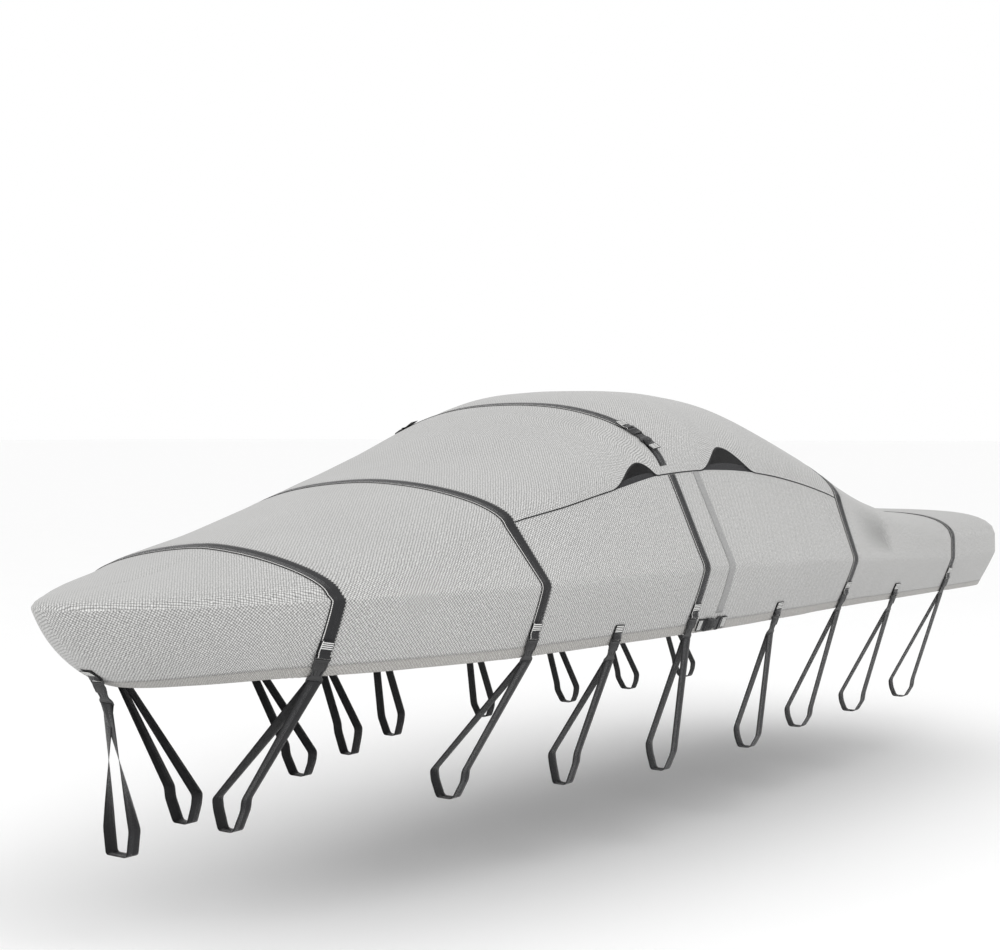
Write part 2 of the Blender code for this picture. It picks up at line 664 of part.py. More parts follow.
def build_stem_loop(name, collection):
    """A ring whose two strands turn a quarter on their way down from the buckle."""
    frame = stem_frames()[1]
    bar = on_frame(frame, 0, BUCKLE_PITCH, BAR_OUT)
    half = STEM_RING["half_width"]
    high = STEM_RING["top_z"] - CROWN_HEIGHT
    low = STEM_RING["bottom_z"] - CROWN_HEIGHT
    front, back = [], []
    for share in (0.2, 0.4, 0.6, 0.8, 1.0):
        turn = share * math.pi / 2
        centre = bar.lerp(Vector((STEM_RING["x"], 0, high)), share)
        apart = frame.out * 0.005 * (1 - share) + Vector((0, -half * share, 0))
        across_it = Vector((math.sin(turn), math.cos(turn), 0))
        front.append((centre + apart, across_it))
        back.append((centre - apart, across_it))
    lengthwise = Vector((1, 0, 0))
    under = []
    for y, z in ((-half * 0.8, low), (half * 0.8, low)):
        under.append((Vector((STEM_RING["x"], y, z)), lengthwise))
    top = round_bar(frame, front[0][0], back[0][0])
    path = [(point, Vector((0, 1, 0))) for point in top] + front + under + back[::-1]
    rows = [[point + width * side for point, width in path] for side in SIDES]
    return webbing(name, rows, collection, closed=True)


def build_seam_strip(name, collection):
    """A strip of the cover's own cloth, sewn over the joining seam of the side."""
    stops = [0.28, 0.38, 0.66, 1.0, 1.5, 1.985]
    xs = (SEAM_STRIP_X - STRIP_WIDTH / 2, SEAM_STRIP_X + STRIP_WIDTH / 2)
    lines = lifted([[cloth_point(s, v) for v in stops] for s in xs], WEBBING_LIFT + STRIP_THICKNESS / 2)
    strip = place_object(name, grid_mesh(name, lines), strip_cloth(), collection)
    return thicken(strip, STRIP_THICKNESS, 0)


def clear_scene():
    for obj in list(bpy.data.objects):
        bpy.data.objects.remove(obj, do_unlink=True)


def main():
    clear_scene()
    collection = bpy.data.collections.new("fitted_cover")
    bpy.context.scene.collection.children.link(collection)
    build_body(collection)
    build_top_panel(collection)
    port_and_starboard(build_facing, "facing", collection)
    for anchor in ANCHORS:
        if anchor.name == "side_strap":
            port_and_starboard(build_side_strap, anchor.name, anchor, collection)
        elif anchor.name.endswith("strap"):
            build_over_strap(anchor.name, anchor, collection)
        else:
            port_and_starboard(build_tab, anchor.name, anchor, collection)
        port_and_starboard(build_buckle, anchor.name + "_buckle", anchor_frame(anchor), collection)
        port_and_starboard(build_loop, anchor.name + "_loop", anchor, collection)
    build_top_strap("top_strap", collection)
    port_and_starboard(build_buckle, "top_strap_buckle", top_buckle_frame(), collection)
    port_and_starboard(build_top_tab, "top_tab", collection)
    build_stem_tab("stem_tab", collection)
    build_buckle("stem_buckle", stem_frames()[1], collection)
    build_stem_loop("stem_loop", collection)
    build_seam_strip("seam_strip", collection)
    frame = hem_buckle_frame()
    build_straight_tab("hem_tab_fore", frame, HEM_SEAT, collection)
    build_buckle("hem_buckle", frame, collection)
    build_straight_tab("hem_tab_aft", other_end(frame), HEM_SEAT, collection)


main()
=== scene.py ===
import math
from collections import namedtuple

import bpy
import numpy as np
from mathutils import Matrix, Vector


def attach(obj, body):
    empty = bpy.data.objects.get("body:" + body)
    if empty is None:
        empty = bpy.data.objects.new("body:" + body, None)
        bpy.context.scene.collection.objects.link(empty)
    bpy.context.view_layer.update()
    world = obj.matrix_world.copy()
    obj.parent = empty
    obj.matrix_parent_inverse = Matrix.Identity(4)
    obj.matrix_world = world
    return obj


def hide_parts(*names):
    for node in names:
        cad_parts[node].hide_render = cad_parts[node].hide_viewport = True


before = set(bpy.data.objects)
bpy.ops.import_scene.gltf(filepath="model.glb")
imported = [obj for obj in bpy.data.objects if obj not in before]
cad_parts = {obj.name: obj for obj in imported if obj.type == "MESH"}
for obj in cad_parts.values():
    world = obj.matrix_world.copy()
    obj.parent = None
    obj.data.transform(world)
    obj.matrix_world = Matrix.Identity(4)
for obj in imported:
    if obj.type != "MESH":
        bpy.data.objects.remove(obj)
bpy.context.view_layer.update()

# Fitted cloth cover with webbing straps. Metres, pointed bow at -X, port is -Y, crown of the cloth at the origin.
groundToCrown = 2.320

cloth = {
    "thickness": 0.0014,
    "hemShare": 0.14,  # part of the skirt that the folded hem takes
    "hemStep": 0.0012,
    "railRound": 0.060,  # how softly the cloth turns over the rail and the shoulder
    "shoulderRound": 0.030,
    "rowSpacing": 0.029,
    "rowSpacingAtStraps": 0.0095,
    "rowSpacingAtArches": 0.018,
    "strapReach": 0.115,  # how far beside a strap the closer rows go
    "pucker": 0.0018,
    "wave": 0.0022,
}
topStrapX = -0.624
stripX, stripStart = -0.326, 0.28
webbingWidth = 0.064

# Ribs of the cloth: lines from the hem up the skirt to the rail, over the side to the shoulder, up to the ridge.
# The shorter rows are ribs that stand square to the ridge.
ribFields = "ridgeX crownZ railX railY railZ shoulder shoulderZ fullness edge hemX hemY hemZ bulge".split()


def straightRib(x, railY, railZ, shoulderY, shoulderZ, crownZ, fullness, edge, hemY, hemZ, bulge):
    return (x, crownZ, x, railY, railZ, shoulderY / railY, shoulderZ, fullness, edge, x, hemY, hemZ, bulge)


ribTable = [
    (-3.300, 1.490, -3.722, 0.000, 1.408, 0.965, 1.430, 1.35, 0.64, -3.352, 0.000, 1.075, 0.048),
    (-3.280, 1.494, -3.716, 0.062, 1.408, 0.965, 1.430, 1.36, 0.64, -3.345, 0.060, 1.076, 0.048),
    (-3.240, 1.500, -3.668, 0.140, 1.409, 0.965, 1.430, 1.38, 0.64, -3.315, 0.130, 1.079, 0.045),
    (-3.160, 1.513, -3.545, 0.262, 1.411, 0.965, 1.428, 1.38, 0.64, -3.240, 0.245, 1.085, 0.036),
    (-3.030, 1.550, -3.262, 0.500, 1.417, 0.962, 1.432, 1.40, 0.63, -3.095, 0.425, 1.098, 0.022),
    (-2.920, 0.700, 1.423, 0.672, 1.444, 1.590, 1.52, 0.62, 0.560, 1.108, 0.012),
    (-2.861, 0.735, 1.424, 0.705, 1.450, 1.611, 1.56, 0.62, 0.595, 1.108, 0.012),
    (-2.352, 0.880, 1.424, 0.810, 1.520, 1.720, 1.70, 0.61, 0.765, 1.104, 0.009),
    (-1.786, 1.005, 1.423, 0.797, 1.684, 1.862, 1.83, 0.60, 0.883, 1.100, 0.008),
    (-1.392, 1.052, 1.426, 0.887, 1.766, 1.960, 1.82, 0.60, 0.927, 1.099, 0.008),
    (-1.094, 1.083, 1.430, 0.912, 1.822, 2.070, 1.86, 0.60, 0.958, 1.099, 0.008),
    (-0.605, 1.134, 1.434, 0.924, 1.893, 2.248, 2.28, 0.58, 1.005, 1.099, 0.008),
    (-0.240, 1.147, 1.430, 0.924, 1.905, 2.312, 3.10, 0.58, 1.026, 1.099, 0.008),
    (0.000, 1.152, 1.425, 0.924, 1.900, 2.324, 2.80, 0.58, 1.032, 1.099, 0.008),
    (0.394, 1.157, 1.413, 0.930, 1.872, 2.308, 2.30, 0.58, 1.038, 1.100, 0.008),
    (0.883, 1.161, 1.392, 0.985, 1.785, 2.166, 2.18, 0.60, 1.038, 1.101, 0.008),
    (1.085, 1.161, 1.382, 1.045, 1.716, 2.060, 2.15, 0.61, 1.038, 1.102, 0.008),
    (1.392, 1.157, 1.364, 1.072, 1.600, 1.885, 2.90, 0.58, 1.042, 1.101, 0.007),
    (1.680, 1.152, 1.349, 1.098, 1.515, 1.745, 4.20, 0.55, 1.050, 1.099, 0.006),
    (2.016, 1.150, 1.330, 1.138, 1.462, 1.634, 6.00, 0.52, 1.054, 1.096, 0.005),
    (2.544, 1.147, 1.306, 1.145, 1.430, 1.587, 7.00, 0.50, 1.056, 1.092, 0.004),
    (2.985, 1.130, 1.300, 1.128, 1.422, 1.576, 7.00, 0.50, 1.040, 1.084, 0.004),
    (3.060, 1.574, 3.370, 1.105, 1.298, 0.998, 1.418, 6.50, 0.50, 3.325, 1.005, 1.078, 0.004),
    (3.110, 1.572, 3.500, 1.040, 1.298, 0.996, 1.417, 6.00, 0.50, 3.415, 0.950, 1.077, 0.004),
    (3.150, 1.571, 3.560, 0.900, 1.298, 0.994, 1.416, 5.50, 0.50, 3.455, 0.840, 1.077, 0.004),
    (3.200, 1.570, 3.573, 0.450, 1.298, 0.985, 1.415, 4.50, 0.50, 3.463, 0.420, 1.077, 0.004),
    (3.230, 1.570, 3.573, 0.000, 1.298, 0.975, 1.415, 4.00, 0.50, 3.463, 0.000, 1.077, 0.004),
]
ribs = [row if len(row) == len(ribFields) else straightRib(*row) for row in ribTable]
ribColumns = dict(zip(ribFields, np.array(ribs).T))
firstRow, lastRow = ribs[0][0], ribs[-1][0]
sides = ("port", "starboard")

# x, how far above the hem the buckle's upper bar sits, and the ring below: near y, far y, top z, bottom z.
anchors = {
    "bow_strap": (-2.848, 0.100, 0.230, 0.060, 0.566, 0.422),
    "fore_strap": (-1.768, 0.100, 0.557, 0.375, 0.556, 0.422),
    "fore_tab": (-1.152, 0.036, 0.757, 0.610, 0.566, 0.413),
    "side_strap": (-0.566, 0.100, 0.950, 0.800, 0.552, 0.413),
    "middle_tab": (0.310, 0.036, 0.960, 0.820, 0.515, 0.403),
    "aft_strap": (1.085, 0.100, 0.880, 0.730, 0.515, 0.403),
    "aft_tab": (1.802, 0.036, 0.880, 0.730, 0.515, 0.403),
    "stern_strap": (2.544, 0.100, 0.880, 0.730, 0.515, 0.403),
}
strapX = {name: row[0] for name, row in anchors.items()}
# Arched openings in the top panel's lower edge: start, end, peak, rise, rise of the dark facing.
arches = [(-1.094, -0.690, -0.825, 0.090, 0.030), (-0.270, 0.320, -0.030, 0.120, 0.038)]
dent = {"start": 1.150, "deepest": 1.600, "end": 1.670, "low": 1.15, "high": 2.30, "depth": 0.026}


def fairLine(xs, ys, at):
    # monotone cubic through the table, so few rows give a fair line
    steps = np.diff(xs)
    slopes = np.diff(ys) / steps
    tangents = np.zeros(len(xs))
    tangents[0], tangents[-1] = slopes[0], slopes[-1]
    for i in range(1, len(xs) - 1):
        if slopes[i - 1] * slopes[i] > 0:
            near, far = 2 * steps[i] + steps[i - 1], steps[i] + 2 * steps[i - 1]
            tangents[i] = (near + far) / (near / slopes[i - 1] + far / slopes[i])
    i = np.clip(np.searchsorted(xs, at) - 1, 0, len(steps) - 1)
    t = (at - xs[i]) / steps[i]
    rise = steps[i] * (tangents[i] * t * (1 - t) ** 2 - tangents[i + 1] * t**2 * (1 - t))
    return ys[i] * (1 + 2 * t) * (1 - t) ** 2 + ys[i + 1] * t**2 * (3 - 2 * t) + rise


def dentDepth(x, v):
    rising = np.clip((x - dent["start"]) / (dent["deepest"] - dent["start"]), 0, 1)
    falling = np.clip((dent["end"] - x) / (dent["end"] - dent["deepest"]), 0, 1)
    along = np.minimum(rising, falling)
    up = np.clip((v - dent["low"]) / (dent["high"] - dent["low"]), 0, 1)
    return dent["depth"] * along * along * (3 - 2 * along) * np.sin(np.pi * up)


def creasedCloth(s, v):
    # v: 0 hem, 1 rail, 2 shoulder, 3 ridge, and back down to 6 at the starboard hem
    s, v = np.broadcast_arrays(np.clip(s, firstRow, lastRow), np.clip(v, 0.0, 6.0))
    rib = {field: fairLine(ribColumns["ridgeX"], column, s) for field, column in ribColumns.items()}
    starboard = v > 3
    v = np.where(starboard, 6 - v, v)
    runX, runY = rib["railX"] - rib["ridgeX"], -rib["railY"]
    run = np.hypot(runX, runY)
    outX, outY = runX / run, runY / run
    skirtX, skirtY = rib["railX"] - rib["hemX"], rib["hemY"] - rib["railY"]
    skirtRise = rib["railZ"] - rib["hemZ"]
    skirtRun = np.hypot(skirtX, skirtY)
    skirtLength = np.hypot(skirtRun, skirtRise)
    puff = rib["bulge"] * 4 * v * (1 - v) + np.where(v <= cloth["hemShare"] + 1e-9, cloth["hemStep"], 0.0)
    skirt = (
        rib["hemX"] + skirtX * v + outX * puff * skirtRise / skirtLength,
        -rib["hemY"] + skirtY * v + outY * puff * skirtRise / skirtLength,
        rib["hemZ"] + skirtRise * v - puff * skirtRun / skirtLength,
    )
    sideReach = 1 + (rib["shoulder"] - 1) * (v - 1)
    angle = np.clip(v - 2, 0, 1) * np.pi / 2
    topReach = rib["shoulder"] * np.clip(np.cos(angle), 0, 1) ** (2 / rib["fullness"])
    topRise = (rib["crownZ"] - rib["shoulderZ"]) * np.sin(angle) ** (2 * rib["edge"])
    reach = np.where(v <= 2, sideReach, np.where(v >= 3 - 1e-9, 0.0, topReach))
    height = np.where(
        v <= 2, rib["railZ"] + (rib["shoulderZ"] - rib["railZ"]) * (v - 1), rib["shoulderZ"] + topRise
    )
    x = np.where(v <= 1, skirt[0], rib["ridgeX"] + runX * reach)
    y = np.where(v <= 1, skirt[1], runY * reach)
    z = np.where(v <= 1, skirt[2], height) - groundToCrown
    sunk = dentDepth(rib["ridgeX"], v)
    x, y = x - outX * sunk, y - outY * sunk
    return np.stack([x, np.where(starboard, -y, y), z], -1)


def smoothCloth(s, v):
    s, v = np.broadcast_arrays(np.asarray(s, float), np.asarray(v, float))
    half = np.minimum(v, 6 - v)
    width = cloth["railRound"] * np.exp(-(((half - 1) / 0.10) ** 2))
    width = width + cloth["shoulderRound"] * np.exp(-(((half - 2) / 0.08) ** 2))
    total = 0.0
    for shift, share in ((-1, 0.15), (-0.5, 0.25), (0, 0.2), (0.5, 0.25), (1, 0.15)):
        total = total + share * creasedCloth(s, v + shift * width)
    return total


def pathLength(path):
    return float(np.linalg.norm(np.diff(path, axis=0), axis=1).sum())


def walkedAlong(path):
    # distance from the first point to each point of one path or of many
    steps = np.linalg.norm(np.diff(path, axis=-2), axis=-1)
    return np.concatenate([np.zeros((*steps.shape[:-1], 1)), np.cumsum(steps, axis=-1)], axis=-1)


def unit(vectors):
    return vectors / np.maximum(np.linalg.norm(vectors, axis=-1, keepdims=True), 1e-12)


def clothOut(s, v):
    run = smoothCloth(s + 0.002, v) - smoothCloth(s - 0.002, v)
    girth = smoothCloth(s, v + 0.004) - smoothCloth(s, v - 0.004)
    return unit(np.cross(run, girth))


def softWave(points, length, seed):
    # slow unevenness of drawn cloth, the same every run
    pick = np.random.default_rng(seed)
    total = 0.0
    for _ in range(7):
        way = unit(pick.normal(size=3)) * 2 * np.pi / (length * pick.uniform(0.7, 1.5))
        total = total + np.sin(points @ way + pick.uniform(0, 2 * np.pi))
    return total / 7


def foldDepth(points, v):
    # puckers at the hem beside each strap, cloth drawn in under the straps, and a slow wave over all
    half = np.minimum(v, 6 - v)
    depth = cloth["wave"] * (softWave(points, 0.75, 4) + 0.5 * softWave(points, 0.30, 9))
    depth = depth * np.clip(1.15 - np.exp(-(((half - 1) / 0.16) ** 2)), 0.25, 1)
    x = points[..., 0]
    for name, (where, *_) in anchors.items():
        away = np.abs(x - where)
        beside = np.exp(-(((away - 0.075) / 0.055) ** 2)) * (away > 0.034)
        crimp = np.sin(2 * np.pi * away / 0.023 + where * 9) * np.exp(-((half / 0.24) ** 2))
        depth = depth + cloth["pucker"] * beside * crimp
        if "strap" in name:
            lip = np.exp(-(((away - 0.085) / 0.035) ** 2)) * 0.0016 - np.exp(-((away / 0.045) ** 2)) * 0.0012
            depth = depth + lip * np.clip(half / 0.3, 0, 1)
    hemRoll = 0.0018 * softWave(points, 0.16, 21) * np.exp(-((half / 0.12) ** 2))
    return depth + hemRoll


def clothAt(s, v, lift=0.0):
    # the finished cloth: points of its outer face, moved out by lift
    base = smoothCloth(s, v)
    out = clothOut(s, v)
    v = np.broadcast_arrays(s, v)[1]
    return base + out * (foldDepth(base, v) + lift)[..., None]


def point(s, v):
    return Vector(creasedCloth(np.array([s]), np.array([v]))[0])


def vAbove(s, start, distance):
    # the v that lies this far above start along the cloth, for each row
    s, distance = np.broadcast_arrays(np.atleast_1d(np.asarray(s, float)), distance)
    steps = np.linspace(start, 2.98, 500)
    walked = walkedAlong(creasedCloth(s[:, None], steps[None, :]))
    return np.array([np.interp(d, w, steps) for d, w in zip(distance, walked)])


def archRise(x):
    rise = np.zeros_like(np.asarray(x, float))
    for start, end, peak, high, _ in arches:
        foot = np.where(x < peak, start, end)
        bell = np.cos(np.pi / 2 * (x - peak) / (foot - peak)) ** 2
        rise = rise + np.where((x > start) & (x < end), high * bell, 0.0)
    return rise


print("cloth table read,", len(ribs), "ribs")


class Graph:
    # one shader tree, with short ways to add linked nodes to it
    def __init__(self, tree):
        self.tree = tree

    def feed(self, socket, value):
        if isinstance(value, bpy.types.NodeSocket):
            self.tree.links.new(value, socket)
        else:
            socket.default_value = (*value, 1.0) if socket.type == "RGBA" else value

    def node(self, kind, values, **settings):
        # values are fed by label or in order
        node = self.tree.nodes.new("ShaderNode" + kind)
        for setting, value in settings.items():
            setattr(node, setting, value)
        for label, value in values.items() if isinstance(values, dict) else enumerate(values):
            self.feed(node.inputs[label], value)
        return node.outputs

    def math(self, operation, *values, clamp=False):
        return self.node("Math", values, operation=operation, use_clamp=clamp)[0]

    def times(self, *values, clamp=False):
        return self.math("MULTIPLY", *values, clamp=clamp)

    def timesPlus(self, *values, clamp=False):
        return self.math("MULTIPLY_ADD", *values, clamp=clamp)

    def vector(self, operation, first, second):
        values = {0: first, "Scale" if operation == "SCALE" else 1: second}
        return self.node("VectorMath", values, operation=operation)[0]

    def mix(self, factor, first, second):
        return self.node("Mix", {"Factor": factor, "A": first, "B": second}, data_type="RGBA")["Result"]

    def noise(self, vector, scale, detail=2.0, roughness=0.5, output="Fac"):
        values = {"Vector": vector, "Scale": scale, "Detail": detail, "Roughness": roughness}
        return self.node("TexNoise", values)[output]

    def split(self, vector):
        node = self.node("SeparateXYZ", [vector])
        return node["X"], node["Y"]

    def within(self, value, low, high):
        return self.times(self.math("GREATER_THAN", value, low), self.math("LESS_THAN", value, high))

    def mask(self, name):
        return self.node("Attribute", [], attribute_name=name)["Fac"]

    def run(self):
        return self.node("UVMap", [], uv_map="run")["UV"]

    def place(self):
        return self.node("TexCoord", [])["Object"]

    def shared(self, group, **values):
        return self.node("Group", values, node_tree=group)

    def bump(self, inputs, height, distance, strength=1.0):
        values = {"Distance": distance, "Strength": strength, "Height": height}
        self.feed(inputs["Normal"], self.node("Bump", values)["Normal"])


def newGroup(name, outputs, **inputs):
    # a shared effect; an input with no value is a vector
    group = bpy.data.node_groups.new(name, "ShaderNodeTree")
    for label, value in inputs.items():
        kind = "NodeSocketVector" if value is None else "NodeSocketFloat"
        socket = group.interface.new_socket(label, in_out="INPUT", socket_type=kind)
        if value is not None:
            socket.default_value = value
    for label in outputs:
        group.interface.new_socket(label, in_out="OUTPUT", socket_type="NodeSocketFloat")
    into, out = group.nodes.new("NodeGroupInput"), group.nodes.new("NodeGroupOutput")
    return Graph(group), into.outputs, out.inputs


def makeClothWeave():
    # coarse pebble weave on the bias: rounded crossings with dark gaps between them
    outputs = "Height", "Crossing", "Thread"
    graph, into, out = newGroup("clothWeave", outputs, Run=None, Period=0.012, Jitter=0.3)
    run, period = into["Run"], into["Period"]
    shake = graph.vector("SUBTRACT", graph.noise(run, 55.0, output="Color"), (0.5, 0.5, 0.5))
    shake = graph.vector("SCALE", shake, graph.times(into["Jitter"], period))
    x, y = graph.split(graph.vector("ADD", run, shake))
    turns = graph.math("DIVIDE", math.pi, period)
    ridges = []
    for lean in ("ADD", "SUBTRACT"):
        angle = graph.times(graph.math(lean, x, y), turns)
        ridges.append(graph.math("ABSOLUTE", graph.math("SINE", angle)))
    height = graph.math("SQRT", graph.times(*ridges))
    thread = graph.timesPlus(graph.noise(run, 420.0, 3.0, 0.6), 0.7, 0.15)
    uneven = graph.timesPlus(graph.noise(run, 95.0), 0.9, 0.55)
    graph.feed(out["Height"], graph.timesPlus(thread, 0.22, height))
    graph.feed(out["Crossing"], graph.times(height, uneven, clamp=True))
    graph.feed(out["Thread"], thread)
    return graph.tree


def makeSlowShade():
    # slow change of shade over the whole piece, from dust and sun
    graph, into, out = newGroup("slowShade", ["Shade"], Place=None, Amount=0.1)
    broad = graph.times(graph.noise(into["Place"], 1.3, 3.0, 0.55), 0.65)
    both = graph.timesPlus(graph.noise(into["Place"], 7.0), 0.35, broad)
    graph.feed(out["Shade"], graph.timesPlus(graph.math("SUBTRACT", both, 0.5), into["Amount"], 1.0))
    return graph.tree


clothWeave = makeClothWeave()
slowShade = makeSlowShade()


def startMaterial(name, roughness, sheen=0.0, sheenRoughness=0.4, specular=0.5):
    made = bpy.data.materials.new(name)
    made.use_nodes = True
    shader = made.node_tree.nodes["Principled BSDF"]
    shader.inputs["Roughness"].default_value = roughness
    shader.inputs["Sheen Weight"].default_value = sheen
    shader.inputs["Sheen Roughness"].default_value = sheenRoughness
    shader.inputs["Specular IOR Level"].default_value = specular
    return made, Graph(made.node_tree), shader.inputs


clothLook = {
    "crossing": (0.69, 0.688, 0.680),
    "gap": (0.020, 0.020, 0.019),
    "fibre": (0.70, 0.695, 0.68),
    "average": (0.44, 0.438, 0.432),
    "hem": ((0.20, 0.19, 0.175), (0.50, 0.475, 0.44)),
    "hemLine": (0.12, 0.115, 0.11),
    # painted shade for the hollow of the dent behind the aft strap
    "dent": (0.20, 0.20, 0.195),
    "period": 0.0152,
    "relief": 0.0016,
    # the lining is painted near black, for the shade inside the closed cover
    "lining": (0.013, 0.013, 0.014),
}


def makeCoverCloth(name, crossing, gap, period, relief, hem=True):
    made, graph, inputs = startMaterial(name, 0.82, sheen=0.12, sheenRoughness=0.5, specular=0.25)
    run = graph.run()
    weave = graph.shared(clothWeave, Run=run, Period=period, Jitter=0.60)
    wear = graph.shared(slowShade, Place=graph.place(), Amount=0.16)
    colour = graph.mix(weave["Crossing"], gap, crossing)
    colour = graph.mix(graph.times(weave["Thread"], 0.25), colour, clothLook["fibre"])
    facing = graph.node("LayerWeight", [])["Facing"]
    # seen along the cloth, the crossings hide the gaps
    hidden = graph.times(graph.math("SUBTRACT", facing, 0.48), 2.3, clamp=True)
    if hem:
        tint = graph.mix(graph.noise(run, 260.0, 2.0, 0.6), *clothLook["hem"])
        for mask, share, shade in (
            (hidden, 0.85, clothLook["average"]),
            (graph.mask("hemBand"), 0.5, tint),
            # painted shade in the dent, strongest where it is deepest
            (graph.mask("dentShade"), 0.55, clothLook["dent"]),
            (graph.mask("hemLine"), 0.45, clothLook["hemLine"]),
        ):
            colour = graph.mix(graph.times(mask, share), colour, shade)
    mottle = graph.noise(run, 80.0, 3.0, 0.65)  # uneven yarns, which still show from afar
    seen = graph.timesPlus(hidden, -0.55, 0.75)
    dye = graph.timesPlus(graph.math("SUBTRACT", mottle, 0.5), seen, 1.0)
    colour = graph.vector("SCALE", colour, graph.times(dye, wear["Shade"]))
    graph.feed(inputs["Base Color"], colour)
    graph.feed(inputs["Roughness"], graph.timesPlus(weave["Crossing"], -0.12, 0.90))
    graph.bump(inputs, weave["Height"], relief, graph.timesPlus(hidden, -0.7, 1.0))
    return made


def makePlainCloth(name, period, jitter, dark, light, wear, relief, **look):
    # lining, facing and binding: one weave between two shades
    made, graph, inputs = startMaterial(name, **look)
    weave = graph.shared(clothWeave, Run=graph.run(), Period=period, Jitter=jitter)
    worn = graph.shared(slowShade, Place=graph.place(), Amount=wear)
    colour = graph.mix(weave["Crossing"], dark, light)
    graph.feed(inputs["Base Color"], graph.vector("SCALE", colour, worn["Shade"]))
    graph.bump(inputs, weave["Height"], relief)
    return made


def makeBlackCloth(name, shade):
    dark, light = ([c * share for c in shade] for share in (0.5, 1.5))
    return makePlainCloth(name, 0.004, 0.3, dark, light, 0.4, 0.0005, roughness=0.85, sheen=0.08, specular=0.2)


webbingLook = {
    "yarn": (0.029, 0.029, 0.031),
    "between": (0.008, 0.008, 0.009),
    "stitch": (0.80, 0.79, 0.77),
    "rib": 0.0021,
    "cord": 0.0032,
    "unshadedMiddle": (0.0048, 0.0592),  # across from the bow edge, as the stitch lines are; outside it the edges get painted shadow
    "nearLine": (0.0048, 0.0090),
    "farLine": (0.0598, 0.0636),
    "nearStitch": 0.0085,
    "farStitch": 0.0150,
}


def makeWebbing(name, stitched):
    made, graph, inputs = startMaterial(name, 0.64, sheen=0.45, sheenRoughness=0.22, specular=0.3)
    across, along = graph.split(graph.run())
    # the ribs lean one way and then the other across the width
    lean = graph.math("PINGPONG", across, webbingWidth / 2)
    turn, cordTurn = 2 * math.pi / webbingLook["rib"], 2 * math.pi / webbingLook["cord"]
    ribs = graph.math("SINE", graph.times(graph.math("ADD", along, lean), turn))
    cords = graph.math("SINE", graph.times(across, cordTurn))
    height = graph.timesPlus(ribs, 0.5, graph.times(cords, 0.12))
    mask = graph.timesPlus(height, 0.5, 0.5, clamp=True)
    colour = graph.mix(mask, webbingLook["between"], webbingLook["yarn"])
    wear = graph.shared(slowShade, Place=graph.place(), Amount=0.5)
    colour = graph.vector("SCALE", colour, wear["Shade"])
    # painted shadow: both rounded edges of the webbing are darkened to 0.4 of its colour
    woven = graph.within(across, *webbingLook["unshadedMiddle"])
    colour = graph.vector("SCALE", colour, graph.timesPlus(woven, 0.6, 0.4))
    if stitched:
        lines = []
        for label, filled in (("near", 0.86), ("far", 0.5)):
            line = graph.within(across, *webbingLook[label + "Line"])
            part = graph.math("FRACT", graph.math("DIVIDE", along, webbingLook[label + "Stitch"]))
            lines.append(graph.times(line, graph.math("LESS_THAN", part, filled)))
        stitches = graph.timesPlus(lines[1], 0.6, lines[0], clamp=True)
        colour = graph.mix(stitches, colour, webbingLook["stitch"])
        height = graph.timesPlus(stitches, 1.5, height)
    graph.feed(inputs["Base Color"], colour)
    graph.feed(inputs["Roughness"], graph.timesPlus(mask, -0.14, 0.68))
    graph.bump(inputs, height, 0.00035)
    return made


def makeThread():
    made, graph, inputs = startMaterial("whiteThread", 0.7, sheen=0.1)
    twist = graph.noise(graph.place(), 900.0)
    graph.feed(inputs["Base Color"], graph.mix(twist, (0.74, 0.74, 0.72), (0.95, 0.95, 0.93)))
    graph.bump(inputs, twist, 0.0004)
    return made


def makePlastic():
    made, graph, inputs = startMaterial("mouldedPlastic", 0.4, specular=0.5)
    place = graph.place()
    smear = graph.noise(place, 60.0, 3.0, 0.6)
    graph.feed(inputs["Base Color"], graph.mix(smear, (0.014, 0.014, 0.015), (0.034, 0.034, 0.035)))
    graph.feed(inputs["Roughness"], graph.timesPlus(smear, 0.22, 0.28))
    graph.bump(inputs, graph.noise(place, 1400.0, 2.0, 0.6), 0.00012)
    return made


coverCloth = makeCoverCloth(
    "coverCloth", clothLook["crossing"], clothLook["gap"], clothLook["period"], clothLook["relief"]
)
stripCloth = makeCoverCloth("stripCloth", (0.33, 0.33, 0.33), (0.16, 0.16, 0.16), 0.012, 0.0010, hem=False)
# lining in painted shade: near black, for the dark inside of the cover
liningDark = [0.8 * c for c in clothLook["lining"]]
liningPaintedShade = makePlainCloth(
    "liningPaintedShade", clothLook["period"], 0.4, liningDark, clothLook["lining"], 0.25, 0.0007,
    roughness=0.55, specular=0.35,
)
stitchedWebbing = makeWebbing("stitchedWebbing", True)
plainWebbing = makeWebbing("plainWebbing", False)
whiteThread = makeThread()
facingCloth = makeBlackCloth("facingCloth", (0.034, 0.034, 0.036))
# near-black binding on the top panel's lower edge: real binding at the arches, painted shadow along the seam
bindingAndSeamShadow = makeBlackCloth("bindingAndSeamShadow", (0.018, 0.018, 0.019))
mouldedPlastic = makePlastic()
print("materials made,", len(bpy.data.materials))


def addObject(name, data):
    obj = bpy.data.objects.new(name, data)
    bpy.context.scene.collection.objects.link(obj)
    return obj


